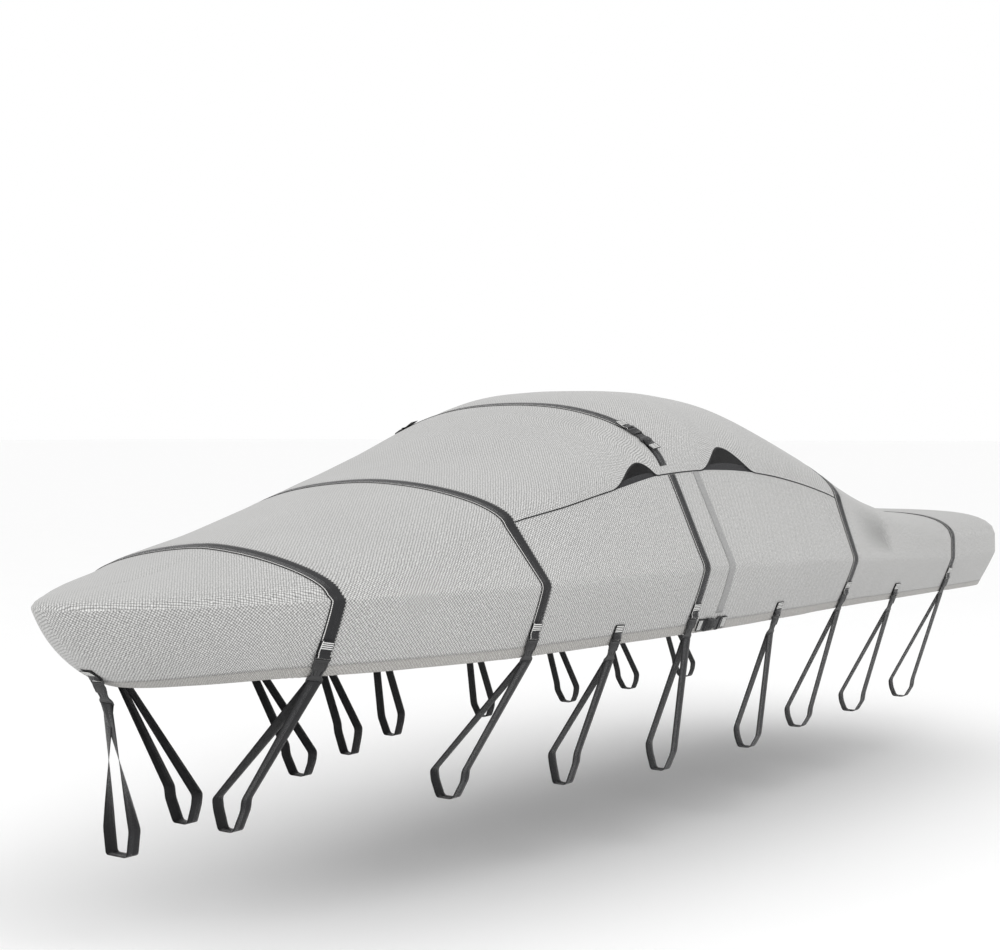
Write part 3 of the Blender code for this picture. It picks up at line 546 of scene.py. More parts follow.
class Mesh:
    # gathers parts of one piece: points, faces, run coordinates and the material of each face
    def __init__(self):
        self.points, self.faces, self.runs, self.slots, self.size = [], [], [], [], 0

    def add(self, points, faces, runs, slot=0):
        self.points.append(np.asarray(points, float))
        self.faces += [tuple(int(i) + self.size for i in face) for face in faces]
        self.runs += list(runs)
        self.slots += [slot] * len(faces) if isinstance(slot, int) else list(slot)
        self.size += len(points)

    def make(self, name, materials):
        mesh = bpy.data.meshes.new(name)
        mesh.from_pydata(np.concatenate(self.points).tolist(), [], self.faces)
        layer = mesh.uv_layers.new(name="run")
        layer.data.foreach_set("uv", np.array([c for run in self.runs for uv in run for c in uv], np.float32))
        mesh.polygons.foreach_set("material_index", np.array(self.slots, np.int32))
        for entry in materials:
            mesh.materials.append(entry)
        mesh.shade_smooth()
        mesh.update()
        return addObject(name, mesh)


def dress(obj, slot, *nodes):
    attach(obj, "root")
    if nodes:
        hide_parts(*nodes)
    return obj


def gridFaces(rows, columns, wrap=False):
    i, k = np.meshgrid(np.arange(rows - 1), np.arange(columns if wrap else columns - 1), indexing="ij")
    after = (k + 1) % columns
    corners = np.stack([i * columns + k, (i + 1) * columns + k, (i + 1) * columns + after, i * columns + after], -1)
    return corners.reshape(-1, 4)


def sheetMesh(name, points, runs, slots, materials, keep=None, weld=None, masks=()):
    # one sheet from a grid of points; weld maps each grid index to the index that stands for it
    quads = gridFaces(*points.shape[:2])
    kept = np.ones(len(quads), bool) if keep is None else keep.reshape(-1)
    corners = (quads if weld is None else weld[quads])[kept]
    faces, faceRuns, faceSlots = [], [], []
    for face, run, slot in zip(corners, runs.reshape(-1, 4, 2)[kept], slots.reshape(-1)[kept]):
        seen = {}
        for corner, uv in zip(face, run):
            seen.setdefault(int(corner), uv)
        if len(seen) > 2:
            faces.append(list(seen))
            faceRuns.append(list(seen.values()))
            faceSlots.append(int(slot))
    used = sorted({corner for face in faces for corner in face})
    index = {corner: n for n, corner in enumerate(used)}
    part = Mesh()
    part.add(points.reshape(-1, 3)[used], [[index[corner] for corner in face] for face in faces], faceRuns, faceSlots)
    obj = part.make(name, materials)
    for label, values in masks:
        layer = obj.data.attributes.new(label, "FLOAT", "POINT")
        layer.data.foreach_set("value", values.reshape(-1)[used].astype(np.float32))
    return obj


def giveBody(obj, thickness, inner=0):
    solid = obj.modifiers.new("Thickness", "SOLIDIFY")
    solid.thickness = thickness
    solid.offset = -1
    solid.use_even_offset = True
    solid.material_offset = inner


def spacedStops(dense, line, spacing, whole):
    # a fair choice out of dense, with the wanted spacing along the line
    count = np.concatenate([[0], np.cumsum(np.linalg.norm(np.diff(line, axis=0), axis=1) / spacing)])
    return np.interp(np.linspace(0, count[-1], whole(count[-1]) + 1), count, dense)


def rowStops():
    # rows at even steps along the rail, closer beside straps and tabs, with a row on each seam
    dense = np.linspace(firstRow, lastRow, 8000)
    middle = (dense[1:] + dense[:-1]) / 2
    away = np.min([np.abs(middle - where) for where, *_ in anchors.values()], axis=0)
    spacing = np.where(away < cloth["strapReach"], cloth["rowSpacingAtStraps"], cloth["rowSpacing"])
    spacing = np.where(archRise(middle) > 0.002, np.minimum(spacing, cloth["rowSpacingAtArches"]), spacing)
    rows = spacedStops(dense, creasedCloth(dense, np.full_like(dense, 1.0)), spacing, round)
    for seam in (foreSeam, aftSeam):
        rows[np.argmin(np.abs(rows - seam))] = seam
    return rows


foreSeam = strapX["fore_strap"] + webbingWidth / 2
aftSeam = strapX["aft_strap"] - webbingWidth / 2
allRows = rowStops()
skirtStops = np.array(
    [0, 0.012, 0.045, 0.08, 0.112, 0.134, 0.14, 0.1475, 0.18, 0.23, 0.30, 0.39, 0.49]
    + [0.59, 0.69, 0.78, 0.86, 0.92, 0.96, 0.985]
)
sideStops = np.array([1.0, 1.015, 1.04, 1.08, 1.15, 1.24, 1.35, 1.46, 1.57, 1.68, 1.78, 1.86, 1.92, 1.96, 1.985, 2.0])


def topStops(row, low, count, first=(0,)):
    # stops from low up to the ridge, evenly spaced along the cloth; first are distances kept near the lower edge
    full = fairLine(ribColumns["ridgeX"], ribColumns["fullness"], row)
    even = 2 + np.arccos(np.linspace(1, 0, 150) ** (full / 2)) / (np.pi / 2)
    dense = np.unique(np.concatenate([np.linspace(low, 3.0, 150), even[even > low]]))
    walked = walkedAlong(creasedCloth(np.full_like(dense, row), dense))
    rest = np.linspace(0, 1, count + 1)[1:] * (walked[-1] - first[-1])
    return np.interp(np.concatenate([first, first[-1] + rest]), walked, dense)


def wrappedRun(points, rows):
    # lays the weave along one line of the cloth, which is the rail on the cover body, and up the girth
    middle = np.argmin(np.abs(rows))
    along = walkedAlong(points[:, len(skirtStops)])
    along = along - along[middle] + rows[middle]
    girth = walkedAlong(points)
    return np.stack([np.broadcast_to(along[:, None], girth.shape), girth], -1)


def cornerRuns(grid):
    return np.stack([grid[:-1, :-1], grid[1:, :-1], grid[1:, 1:], grid[:-1, 1:]], axis=2)


def mirrorStops(half):
    return np.concatenate([half, 6 - half[:, -2::-1]], axis=1)


def buildCoverBody():
    lower = np.concatenate([skirtStops, sideStops[:-1]])
    stops = mirrorStops(np.array([np.concatenate([lower, topStops(row, 2.0, 22)]) for row in allRows]))
    rows, columns = stops.shape
    points = clothAt(allRows[:, None], stops)
    last, middle = columns - 1, columns // 2
    weld = np.arange(rows * columns).reshape(rows, columns)
    for end in (0, rows - 1):  # the stem and the middle of the stern lie in the centre plane
        points[end] = (points[end] + points[end, ::-1] * (1, -1, 1)) / 2 * (1, 0, 1)
        weld[end, middle + 1 :] = weld[end, :middle][::-1]
    shoulder = len(skirtStops) + len(sideStops) - 1
    k, start, end = np.arange(last), allRows[:-1, None], allRows[1:, None]
    deck = (k >= shoulder) & (k < last - shoulder)
    keep = ~((start >= foreSeam - 1e-6) & (end <= aftSeam + 1e-6) & deck)
    # the weave is laid straight down from above on the nose and on the stern's deck
    above = (k >= len(skirtStops) + 4) & (k < last - len(skirtStops) - 4)
    fromAbove = ((start < strapX["bow_strap"]) & above) | ((start > strapX["stern_strap"]) & deck)
    wrapped = cornerRuns(wrappedRun(points, allRows))
    runs = np.where(fromAbove[..., None, None], cornerRuns(points[..., :2]), wrapped)
    half = np.minimum(stops, 6 - stops)
    hemBand = np.clip((0.1435 - half) / 0.003, 0, 1)
    hemLine = np.exp(-(((half - 0.149) / 0.012) ** 2))
    # how much painted shade each point of the dent gets, from its depth
    sunk = dentDepth(np.broadcast_to(allRows[:, None], half.shape), half) / dent["depth"]
    masks = [("hemBand", hemBand), ("hemLine", hemLine), ("dentShade", sunk)]
    materials = [coverCloth, liningPaintedShade]
    obj = sheetMesh("coverBody", points, runs, np.zeros(keep.shape, int), materials, keep, weld.reshape(-1), masks)
    giveBody(obj, cloth["thickness"], inner=1)
    dress(obj, "cover_cloth", "cover_body")


panel = {"overlap": 0.0045, "lift": 0.0016, "binding": 0.0050, "bindingAtArch": 0.0085}


def buildTopPanel():
    inside = allRows[(allRows > foreSeam + 0.003) & (allRows < aftSeam - 0.003)]
    rows = np.concatenate([[foreSeam + 0.0006], inside, [aftSeam - 0.0006]])
    rise = archRise(rows)
    toShoulder = [pathLength(creasedCloth(np.full(60, s), np.linspace(1.9, 2.0, 60))) for s in rows]
    low = vAbove(rows, 1.9, np.array(toShoulder) + rise - panel["overlap"])
    width = panel["binding"] + (panel["bindingAtArch"] - panel["binding"]) * np.clip(rise / 0.03, 0, 1)
    edges = [(0, 0.0006, wide, wide + 0.001, wide + 0.014) for wide in width]
    stops = mirrorStops(np.array([topStops(row, start, 30, edge) for row, start, edge in zip(rows, low, edges)]))
    columns = stops.shape[1]
    k = np.minimum(np.arange(columns), columns - 1 - np.arange(columns))
    lift = np.where(k < 3, panel["lift"], np.where(k < 4, panel["lift"] * 0.6, 0.0004))
    lift = lift + np.where((k == 1) | (k == 2), 0.0007, 0.0)
    points = clothAt(rows[:, None], stops, lift)
    j = np.tile(np.arange(columns - 1), (len(rows) - 1, 1))
    # the lowest stops of the panel carry the binding, which along the seam is painted shadow
    slots = np.where((j < 3) | (j >= columns - 4), 2, 0)
    runs = cornerRuns(wrappedRun(points, rows))
    obj = sheetMesh("topPanel", points, runs, slots, [coverCloth, liningPaintedShade, bindingAndSeamShadow])
    giveBody(obj, cloth["thickness"], inner=1)
    dress(obj, "cover_cloth", "top_panel")


buildCoverBody()
buildTopPanel()


def buildFacing(side):
    start, end = arches[0][0] + 0.012, arches[-1][1] - 0.012
    rows = np.linspace(start, end, 110)
    rise = np.full_like(rows, 0.012)
    for first, last, _, _, facingRise in arches:
        share = np.clip((rows - first) / (last - first), 0, 1)
        rise = rise + (facingRise - 0.012) * np.sin(np.pi * share)
    low = np.tile((1.94, 1.97, 2.0), (len(rows), 1))
    high = 2 + (vAbove(rows, 2.0, rise) - 2)[:, None] * (0.35, 0.7, 0.94, 1.0)
    stops = np.concatenate([low, high], axis=1)
    lift = np.array([-0.0021, -0.0021, -0.0026, -0.0045, -0.0048, -0.0042, -0.0050])
    points = clothAt(rows[:, None], stops if side == "port" else 6 - stops, lift)
    if side == "starboard":
        points = points[:, ::-1]
    runs = cornerRuns(np.stack([np.broadcast_to(rows[:, None], stops.shape), points[..., 2]], -1))
    slots = np.zeros((len(rows) - 1, len(lift) - 1), int)
    obj = sheetMesh("facing" + side.capitalize(), points, runs, slots, [facingCloth])
    giveBody(obj, 0.0013)
    dress(obj, "black_facing", "facing_" + side)


for side in sides:
    buildFacing(side)
print("facings made")

webbing = {
    "thickness": 0.0020,
    "lift": 0.0020,
    "hemLift": 0.0032,
    "bar": 0.0053,
    "flap": 0.056,
    "tail": 0.068,
    "loopRound": 0.014,
    "aboveBar": 0.06,  # how much further up the cloth a strap starts to lie on it
    "panelEdge": 1.985,
}
barOut = webbing["hemLift"] + webbing["bar"]
buckleLength = 0.118
Frame = namedtuple("Frame", "middle along down out")


def frameFrom(middle, along, down):
    down = down.normalized()
    out = down.cross(along).normalized()
    if out.y * (1 if middle.y > 0 else -1) < -0.2 or (abs(out.y) < 0.2 and out.z < 0):
        out = -out
    side = out.cross(down)
    return Frame(middle, side if side.dot(along) > 0 else -side, down, out)


def onFrame(place, along, down, out):
    return place.middle + place.along * along + place.down * down + place.out * out


def otherEnd(place):
    return Frame(onFrame(place, 0, buckleLength, 0), place.along, -place.down, place.out)


def frameOn(x, v, down):
    # a place on the cloth, with its width along the ridge
    along = point(x + 0.02, v) - point(x - 0.02, v)
    return frameFrom(point(x, v), along.normalized(), down)


def anchorShare(name):
    x, above = anchors[name][:2]
    return above / (point(x, 1.0) - point(x, 0.0)).length


def anchorFrame(name):
    x = anchors[name][0]
    return frameOn(x, anchorShare(name), point(x, 0.0) - point(x, 0.6))


topBuckleV = 2.40


def topBuckleFrame():
    down = point(topStrapX, topBuckleV - 0.05) - point(topStrapX, topBuckleV + 0.05)
    place = frameOn(topStrapX, topBuckleV, down)
    return place._replace(middle=onFrame(place, 0, -buckleLength / 2, 0))


hemBuckle = {"x": -0.428, "share": 0.125}


def hemBuckleFrame():
    x, share = hemBuckle["x"], hemBuckle["share"]
    middle = point(x, share)
    return frameFrom(middle, (point(x, 0.4) - point(x, 0.0)).normalized(), point(x + 0.12, share) - middle)


def mirrored(place):
    return Frame(*(vector * Vector((1, -1, 1)) for vector in place))


acrossSteps = np.linspace(-webbingWidth / 2, webbingWidth / 2, 5)


def clothBand(x, stops, lift=webbing["lift"], width=webbingWidth):
    # rows across a band that lies on the cloth: (across, along, 3)
    steps = np.linspace(-width / 2, width / 2, 5)
    return clothAt(x + steps[:, None], stops[None, :], lift)


def framePath(place, path):
    return np.array([[onFrame(place, side, down, out) for down, out in path] for side in acrossSteps])


def foldPath():
    # behind the bar, round it, and back up over itself as a sewn flap
    hem, bar, thick = webbing["hemLift"], webbing["bar"], webbing["thickness"]
    front = barOut + bar
    path = [(-0.010, hem), (-0.001, hem)]
    for angle in range(20, 180, 20):
        turned = math.radians(angle)
        path.append((bar * math.sin(turned), barOut - bar * math.cos(turned)))
    over = hem + thick + 0.0009
    path += [(0.0, front), (-0.004, front - 0.0004), (-0.010, (front + over) / 2), (-0.017, over + 0.0003)]
    path += [(-0.030, over), (-0.050, over), (-0.016 - webbing["flap"], over)]
    return path


def roundCorners(band, radius, closed=False):
    # replaces each corner of the path by a small arc, the same share for every row across
    middle = band.mean(axis=0)
    count = len(middle)
    made = []
    for i in range(count):
        if not closed and i in (0, count - 1):
            made.append(band[:, i : i + 1])
            continue
        corner, ends = band[:, i], []
        for other in ((i - 1) % count, (i + 1) % count):
            share = min(radius / max(np.linalg.norm(middle[i] - middle[other]), 1e-9), 0.45)
            ends.append(corner + (band[:, other] - corner) * share)
        for t in (0.0, 0.33, 0.67, 1.0):
            made.append((ends[0] * (1 - t) ** 2 + corner * 2 * t * (1 - t) + ends[1] * t * t)[:, None])
    return np.concatenate(made, axis=1)


def gridOut(band, closed):
    if closed:
        run = np.roll(band, -1, axis=1) - np.roll(band, 1, axis=1)
    else:
        run = np.gradient(band, axis=1)
    return unit(np.cross(np.gradient(band, axis=0), run))


def addWebbing(part, band, closed=False, thickness=webbing["thickness"]):
    # a woven band with rounded edges; band is (across, along, 3) through the middle of its thickness
    out = gridOut(band, closed) * thickness / 2
    edge = unit(band[0] - band[1]) * thickness * 0.38
    farEdge = unit(band[-1] - band[-2]) * thickness * 0.38
    across = walkedAlong(band.mean(axis=1))
    across = np.linspace(0, webbingWidth, len(band)) if across[-1] < 1e-6 else across / across[-1] * webbingWidth
    ring = np.array(list(band + out) + [band[-1] + farEdge] + list((band - out)[::-1]) + [band[0] + edge])
    ringRun = [*across, across[-1], *across[::-1], 0.0]
    around, length = ring.shape[:2]
    along = walkedAlong(band.mean(axis=0))
    faces, runs = [], []
    for i in range(around):
        j = (i + 1) % around
        near, far = ringRun[i], ringRun[j] if j else 0.0
        for k in range(length if closed else length - 1):
            m = (k + 1) % length
            v, vNext = along[k], along[m] if m else along[-1] + 0.02
            faces.append((i * length + k, i * length + m, j * length + m, j * length + k))
            runs.append(((near, v), (near, vNext), (far, vNext), (far, v)))
    if not closed:
        for k, way in ((0, 1), (length - 1, -1)):
            faces.append(tuple(i * length + k for i in range(around))[::way])
            runs.append(tuple((ringRun[i], along[k]) for i in range(around))[::way])
    part.add(ring.reshape(-1, 3), faces, runs)


stitching = {"downs": (-0.0645, -0.0555, -0.0465, -0.0375), "length": 0.053, "width": 0.0050, "rise": 0.0012}


def addBarStitches(part, place):
    # satin-stitched bars that hold the flap: raised in the middle, each second thread a little further down
    over = webbing["hemLift"] + webbing["thickness"] * 1.5 + 0.0007
    count = 40
    xs = np.linspace(-stitching["length"] / 2, stitching["length"] / 2, count)
    quads = gridFaces(5, count)
    for down in stitching["downs"]:
        points = []
        for edge, high in ((-0.5, 0), (-0.38, 0.6), (0.0, 1.0), (0.38, 0.6), (0.5, 0)):
            for n, x in enumerate(xs):
                height = stitching["rise"] * high * (1.0 if n % 2 else 0.55) if high else -0.0005
                sway = 0.0004 if n % 2 else -0.0004
                points.append(onFrame(place, x, down + edge * stitching["width"] + sway, over + height))
        part.add(points, quads, [((0, 0), (1, 0), (1, 1), (0, 1))] * len(quads), 1)


def clothStops(start, end, x):
    # stops along a band that lies on the cloth, closer where it turns over the rail and the shoulder
    dense = np.linspace(start, end, 900)
    half = np.minimum(dense, 6 - dense)[1:]
    spacing = np.where(np.abs(half - 1) < 0.09, 0.006, np.where(np.abs(half - 2) < 0.06, 0.010, 0.022))
    return spacedStops(dense, smoothCloth(np.full_like(dense, x), dense), spacing, math.ceil)


def camel(name):
    first, *rest = name.split("_")
    return first + "".join(word.capitalize() for word in rest)


def foldBand(place, backwards=False):
    band = roundCorners(framePath(place, foldPath()), 0.002)
    return band[:, ::-1] if backwards else band


def sewStrap(name, ends, bands, material):
    # one length of webbing, with the stitched flaps at its folded ends
    part = Mesh()
    addWebbing(part, np.concatenate(bands, axis=1))
    for place in ends:
        addBarStitches(part, place)
    dress(part.make(camel(name), [material, whiteThread]), "black_webbing", name)


def onSide(side, lying, place):
    return (lying, place) if side == "port" else (lying * (1, -1, 1), mirrored(place))


def buildOverStrap(name, x, place, startV):
    # crosses the whole cover, folded round a buckle's bar at each end
    lying = clothBand(x, clothStops(startV, 6 - startV, x))
    ends = place, mirrored(place)
    sewStrap(name, ends, [foldBand(place, backwards=True), lying, foldBand(ends[1])], stitchedWebbing)


def buildSideStrap(name, x, place, startV, side):
    lying, place = onSide(side, clothBand(x, clothStops(startV, webbing["panelEdge"], x)), place)
    sewStrap(name + "_" + side, [place], [foldBand(place, backwards=True), lying], stitchedWebbing)


def buildTab(name, x, place, middle, side):
    top = vAbove(x, middle, webbing["tail"])[0]
    stops = np.linspace((top + middle) / 2 + 0.02, top, 7)
    lying, place = onSide(side, clothBand(x, stops, webbing["lift"] - 0.0006), place)
    sewStrap(name + "_" + side, [place], [lying[:, ::-1], foldBand(place)], plainWebbing)


for name, (x, *_) in anchors.items():
    place, share = anchorFrame(name), anchorShare(name)
    if name == "side_strap":
        for side in sides:
            buildSideStrap(name, x, place, share + webbing["aboveBar"], side)
    elif name.endswith("strap"):
        buildOverStrap(name, x, place, share + webbing["aboveBar"])
    else:
        for side in sides:
            buildTab(name, x, place, share, side)
buildOverStrap("top_strap", topStrapX, topBuckleFrame(), topBuckleV + 0.15)


def buildTopTab(side):
    lying, place = onSide(side, clothBand(topStrapX, np.linspace(2.10, 2.2556, 8)), otherEnd(topBuckleFrame()))
    sewStrap("top_tab_" + side, [place], [lying, foldBand(place)], plainWebbing)


for side in sides:
    buildTopTab(side)


def buildStraightTab(name, place, seat):
    hem = webbing["hemLift"]
    straight = [(-webbing["tail"], hem - seat), (-0.050, hem - seat * 0.8), (-0.030, hem - seat / 2)]
    sewStrap(name, [place], [framePath(place, straight), foldBand(place)], plainWebbing)


stem = {
    "share": 0.22,  # how far up the skirt the tab's buckle sits
    "hang": (0.48, -0.877),
    "x": -3.330,
    "halfWidth": 0.075,
    "top": 0.500,
    "bottom": 0.392,
}


def stemFrames():
    middle = point(firstRow, stem["share"])
    down = (point(firstRow, stem["share"] - 0.1) - point(firstRow, stem["share"] + 0.1)).normalized()
    tab = Frame(middle, Vector((0, 1, 0)), down, Vector((down.z, 0, -down.x)).normalized())
    bar = onFrame(tab, 0, 0, barOut)
    hang = Vector((stem["hang"][0], 0, stem["hang"][1])).normalized()
    front = Vector((hang.z, 0, -hang.x))
    return tab, Frame(bar - front * barOut, Vector((0, 1, 0)), hang, front)


def roundBar(place, near, far):
    # half a turn round the buckle's lower bar, between the ways to far and to near
    bar = onFrame(place, 0, buckleLength, barOut)
    ends = []
    for target, side in ((far, math.pi), (near, 0.0)):
        away = target - bar
        ends.append(side - math.atan2(-away.dot(place.out), away.dot(place.down)))
    reach = webbing["bar"]
    turns = np.linspace(*ends, 10)
    return [bar + place.out * reach * math.cos(turn) - place.down * reach * math.sin(turn) for turn in turns]


def sewLoop(name, path, flip=1):
    # a closed ring of webbing; path gives each middle point and the way the width runs there
    band = np.array([[p + width * across for p, width in path] for across in acrossSteps]) * (1, flip, 1)
    part = Mesh()
    addWebbing(part, roundCorners(band, webbing["loopRound"], closed=True), closed=True)
    dress(part.make(camel(name), [plainWebbing]), "black_webbing", name)


def buildLoop(name, side):
    # the webbing ring that hangs from a buckle's lower bar
    place = anchorFrame(name)
    _, _, nearY, farY, topZ, bottomZ = anchors[name]
    bar = onFrame(place, 0, buckleLength, barOut)
    middle, half = (nearY + farY) / 2 - 0.01, 0.30 * (nearY - farY)
    near = [(nearY, topZ), (nearY - 0.006, topZ - 0.045), (middle + half * 0.8, bottomZ)]
    far = [(middle - half * 0.8, bottomZ), (farY + 0.006, topZ - 0.060), (farY, topZ - 0.014)]
    below = [Vector((bar.x, -y, z - groundToCrown)) for y, z in near + far]
    top = roundBar(place, below[0], below[-1])
    path = [(p, place.along) for p in top] + [(p, Vector((1, 0, 0))) for p in below]
    sewLoop(name + "_loop_" + side, path, 1 if side == "port" else -1)


for name in anchors:
    for side in sides:
        buildLoop(name, side)


def buildStemLoop():
    place = stemFrames()[1]
    bar = onFrame(place, 0, buckleLength, barOut)
    half, high, low = stem["halfWidth"], stem["top"] - groundToCrown, stem["bottom"] - groundToCrown
    front, back = [], []
    for share in (n / 10 for n in range(1, 11)):
        turn = share * math.pi / 2
        centre = bar.lerp(Vector((stem["x"], 0, high)), share)
        apart = place.out * 0.005 * (1 - share) + Vector((0, -half * share, 0))
        acrossIt = Vector((math.sin(turn), math.cos(turn), 0))
        front.append((centre + apart, acrossIt))
        back.append((centre - apart, acrossIt))
    under = [(Vector((stem["x"], y, low)), Vector((1, 0, 0))) for y in (-half * 0.8, half * 0.8)]
    top = roundBar(place, front[0][0], back[0][0])
    sewLoop("stem_loop", [(p, Vector((0, 1, 0))) for p in top] + front + under + back[::-1])


buildStraightTab("stem_tab", stemFrames()[0], 0.0054)
buildStemLoop()
buildStraightTab("hem_tab_fore", hemBuckleFrame(), 0.0025)
buildStraightTab("hem_tab_aft", otherEnd(hemBuckleFrame()), 0.0025)


def buildSeamStrip():
    lying = clothBand(stripX, clothStops(stripStart, webbing["panelEdge"], stripX), 0.0015, width=0.060)
    part = Mesh()
    addWebbing(part, lying, thickness=0.0011)
    obj = dress(part.make("seamStrip", [stripCloth]), "strip_cloth", "seam_strip")


buildSeamStrip()
print("webbing laid")


def addLoft(part, sections, axis="y", power=0.45, count=20):
    # sections: distance along the axis, half width, half height, centre across, centre height
    angles = np.linspace(0, 2 * np.pi, count, endpoint=False) + np.pi / count
    c, s = (np.sign(wave) * np.abs(wave) ** power for wave in (np.cos(angles), np.sin(angles)))
    rings = []
    for at, hw, hh, cx, cz in sections:
        along, across, up = np.full(count, at), cx + hw * c, cz + hh * s
        rings.append(np.stack([across, along, up] if axis == "y" else [along, across, up], -1))
    points = np.concatenate(rings)
    faces = [*gridFaces(len(sections), count, wrap=True).tolist(), range(count - 1, -1, -1)]
    faces.append(range(len(points) - count, len(points)))
    part.add(points, faces, [[points[i, :2] for i in face] for face in faces])


def endRounded(sections):
    # a smaller ring at each end, so that no edge is sharp
    inset, drawn = 0.0008, 0.0009
    (a, *first), (b, *last) = sections[0], sections[-1]
    way = inset if b > a else -inset
    small = [(at, hw - drawn, hh - drawn, cx, cz) for at, hw, hh, cx, cz in (sections[0], sections[-1])]
    return [small[0], (a + way, *first), *sections[1:-1], (b - way, *last), small[1]]


def buckleMesh():
    # sections are in millimetres
    part = Mesh()

    def loft(*sections, **options):
        addLoft(part, endRounded([[value * 0.001 for value in section] for section in sections]), **options)

    def pair(*sections, **options):
        for side in (-1, 1):
            loft(*((at, hw, hh, cx * side, cz) for at, hw, hh, cx, cz in sections), **options)

    def bar(reach, *section, **options):
        loft((-reach, *section), (reach, *section), axis="x", **options)

    # upper bar between two cheeks
    bar(34, 2.4, 2.4, 0, 0, power=0.9, count=14)
    pair((-4.5, 2.3, 2.6, 34.9, 0), (4, 2.5, 3.1, 34.8, 0), (14, 2.6, 3.4, 34.0, 0), (22, 2.6, 3.4, 31.5, 0))
    # socket, with a thicker lip at its lower end
    socket = [(12, 33.5, 3.4, 0, 0.3), (15, 33.5, 4.3, 0, 0.9), (20, 33, 4.9, 0, 1.3), (36, 32.4, 5.2, 0, 1.5)]
    lip = [(50, 32, 5.4, 0, 1.6), (57, 31.6, 5.8, 0, 1.7), (60, 31.4, 5.8, 0, 1.7)]
    loft(*socket, *lip, power=0.35, count=28)
    # raised frame on its front, which catches the light, and grip ribs inside it
    loft((19, 25, 0.9, 0, 6.6), (21.5, 25.5, 1.1, 0, 6.8), (24, 25, 0.7, 0, 6.6), power=0.5)
    loft((54, 27, 0.8, 0, 7.3), (56, 27.5, 1.3, 0, 7.6), (58.5, 27.5, 1.3, 0, 7.6), (60.5, 27, 0.7, 0, 7.2), power=0.5)
    pair((21, 1.3, 0.9, 25.5, 6.8), (56, 1.3, 0.9, 26.3, 7.3), power=0.6, count=12)
    for at in np.linspace(27, 50, 6):
        bar(21, 1.0, 0.75, at, 6.9, power=0.8, count=10)
    # press tabs that stand out of the socket's sides
    tab = [(29, 1.6, 3.0, 32.0, 0.8), (34, 2.6, 3.6, 32.4, 0.8), (44, 2.6, 3.6, 32.2, 0.8), (50, 1.4, 3.0, 31.6, 0.8)]
    pair(*tab, power=0.6, count=14)
    # pronged half: two springing arms beside a middle guide
    arm = [(56, 4.2, 2.6, 25.6, 0.6), (64, 4.4, 3.0, 24.6, 0.7), (74, 4.3, 3.2, 21.8, 0.8), (84, 4.6, 3.4, 20.2, 0.8)]
    pair(*arm, (94, 6.5, 3.6, 22.0, 0.8), power=0.5, count=16)
    loft((56, 18.5, 2.5, 0, 0.4), (66, 17, 2.8, 0, 0.6), (80, 14, 3.1, 0, 0.7), (92, 14.5, 3.3, 0, 0.7), power=0.35)
    loft((60, 3.2, 1.0, 0, 3.6), (88, 2.4, 1.0, 0, 4.2), power=0.6, count=12)
    # base that joins them, with the lower bar
    base = [(86, 24, 3.0, 0, 0.5), (90, 26.5, 3.8, 0, 0.8), (96, 33, 4.0, 0, 0.8), (101, 37.2, 3.8, 0, 0.6)]
    loft(*base, (106, 37.8, 3.4, 0, 0.3), (111, 37.2, 2.9, 0, 0.1), power=0.35, count=28)
    bar(30, 1.1, 0.8, 103.5, 4.2, power=0.7, count=10)
    pair((103, 2.6, 3.2, 35.3, 0), (112, 2.6, 3.0, 35.4, 0), (122.5, 2.2, 2.6, 35.0, 0))
    bar(35, 2.4, 2.4, 118, 0, power=0.9, count=14)
    return part


def placeBuckle(name, place):
    side = place.down.cross(place.out)
    axes = Matrix((side, place.down, place.out)).transposed().to_4x4()
    axes.translation = onFrame(place, 0, 0, barOut)
    obj = addObject(camel(name), buckleShape)
    obj.matrix_world = axes
    dress(obj, "buckle_plastic", name)


pattern = buckleMesh().make("buckleShape", [mouldedPlastic])
buckleShape = pattern.data
bpy.data.objects.remove(pattern)
for name in [*anchors, "top_strap"]:
    place = topBuckleFrame() if name == "top_strap" else anchorFrame(name)
    placeBuckle(name + "_buckle_port", place)
    placeBuckle(name + "_buckle_starboard", mirrored(place))
placeBuckle("stem_buckle", stemFrames()[1])
placeBuckle("hem_buckle", hemBuckleFrame())
print("buckles placed,", len(buckleShape.polygons), "faces each")


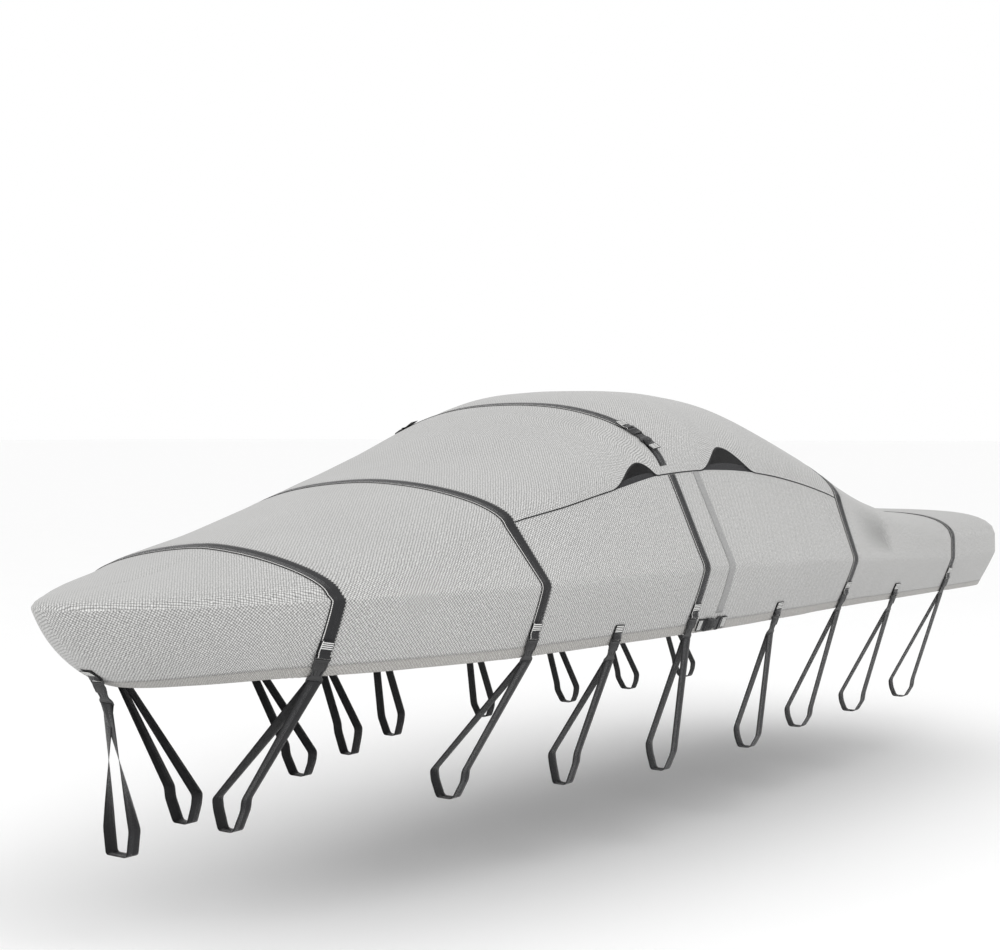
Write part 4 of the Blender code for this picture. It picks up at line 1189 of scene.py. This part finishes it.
studio = {
    "floor": (0.975, 0.975, 0.975),
    "floorSize": 400.0,
    "sky": 1.0,
    "key": 235.0,
    "fill": 60.0,
}


def buildFloor():
    mesh = bpy.data.meshes.new("floor")
    size = studio["floorSize"]
    mesh.from_pydata([(-size, -size, 0), (size, -size, 0), (size, size, 0), (-size, size, 0)], [], [(0, 1, 2, 3)])
    made, graph, inputs = startMaterial("paleFloor", 0.9, specular=0.1)
    dust = graph.noise(graph.place(), 0.8, 3.0)
    dull = [c * 0.985 for c in studio["floor"]]
    graph.feed(inputs["Base Color"], graph.mix(dust, dull, studio["floor"]))
    mesh.materials.append(made)
    floor = addObject("floor", mesh)
    floor.location.z = -groundToCrown


def addLamp(name, place, target, size, power):
    lamp = bpy.data.lights.new(name, "AREA")
    lamp.shape = "SQUARE"
    lamp.size = size
    lamp.energy = power
    obj = addObject(name, lamp)
    obj.location = place
    obj.rotation_euler = (Vector(target) - Vector(place)).to_track_quat("-Z", "Y").to_euler()


buildFloor()
addLamp("keyLight", (-3.0, -6.5, 7.5), (0, 0, -0.6), 6.0, studio["key"])
addLamp("fillLight", (-9.0, 2.0, 3.0), (0, 0, -0.8), 5.0, studio["fill"])

world = bpy.data.worlds.new("softStudio")
world.use_nodes = True
background = world.node_tree.nodes["Background"].inputs
background["Color"].default_value = (1, 1, 1, 1)
background["Strength"].default_value = studio["sky"]
bpy.context.scene.world = world
bpy.context.scene.view_settings.view_transform = "Standard"

view = {"place": (-8.2258, -5.4450, -0.2241), "yaw": 36.02, "pitch": -1.365, "lens": 64.25}
cameraData = bpy.data.cameras.new("photoCamera")
cameraData.lens = view["lens"]
cameraData.sensor_width = 36.0
cameraData.clip_end = 900.0
photoCamera = addObject("photoCamera", cameraData)
yaw, pitch = math.radians(view["yaw"]), math.radians(view["pitch"])
look = Vector((math.cos(pitch) * math.cos(yaw), math.cos(pitch) * math.sin(yaw), math.sin(pitch)))
photoCamera.location = view["place"]
photoCamera.rotation_euler = look.to_track_quat("-Z", "Y").to_euler()
bpy.context.scene.camera = photoCamera
print("floor, light and camera set")
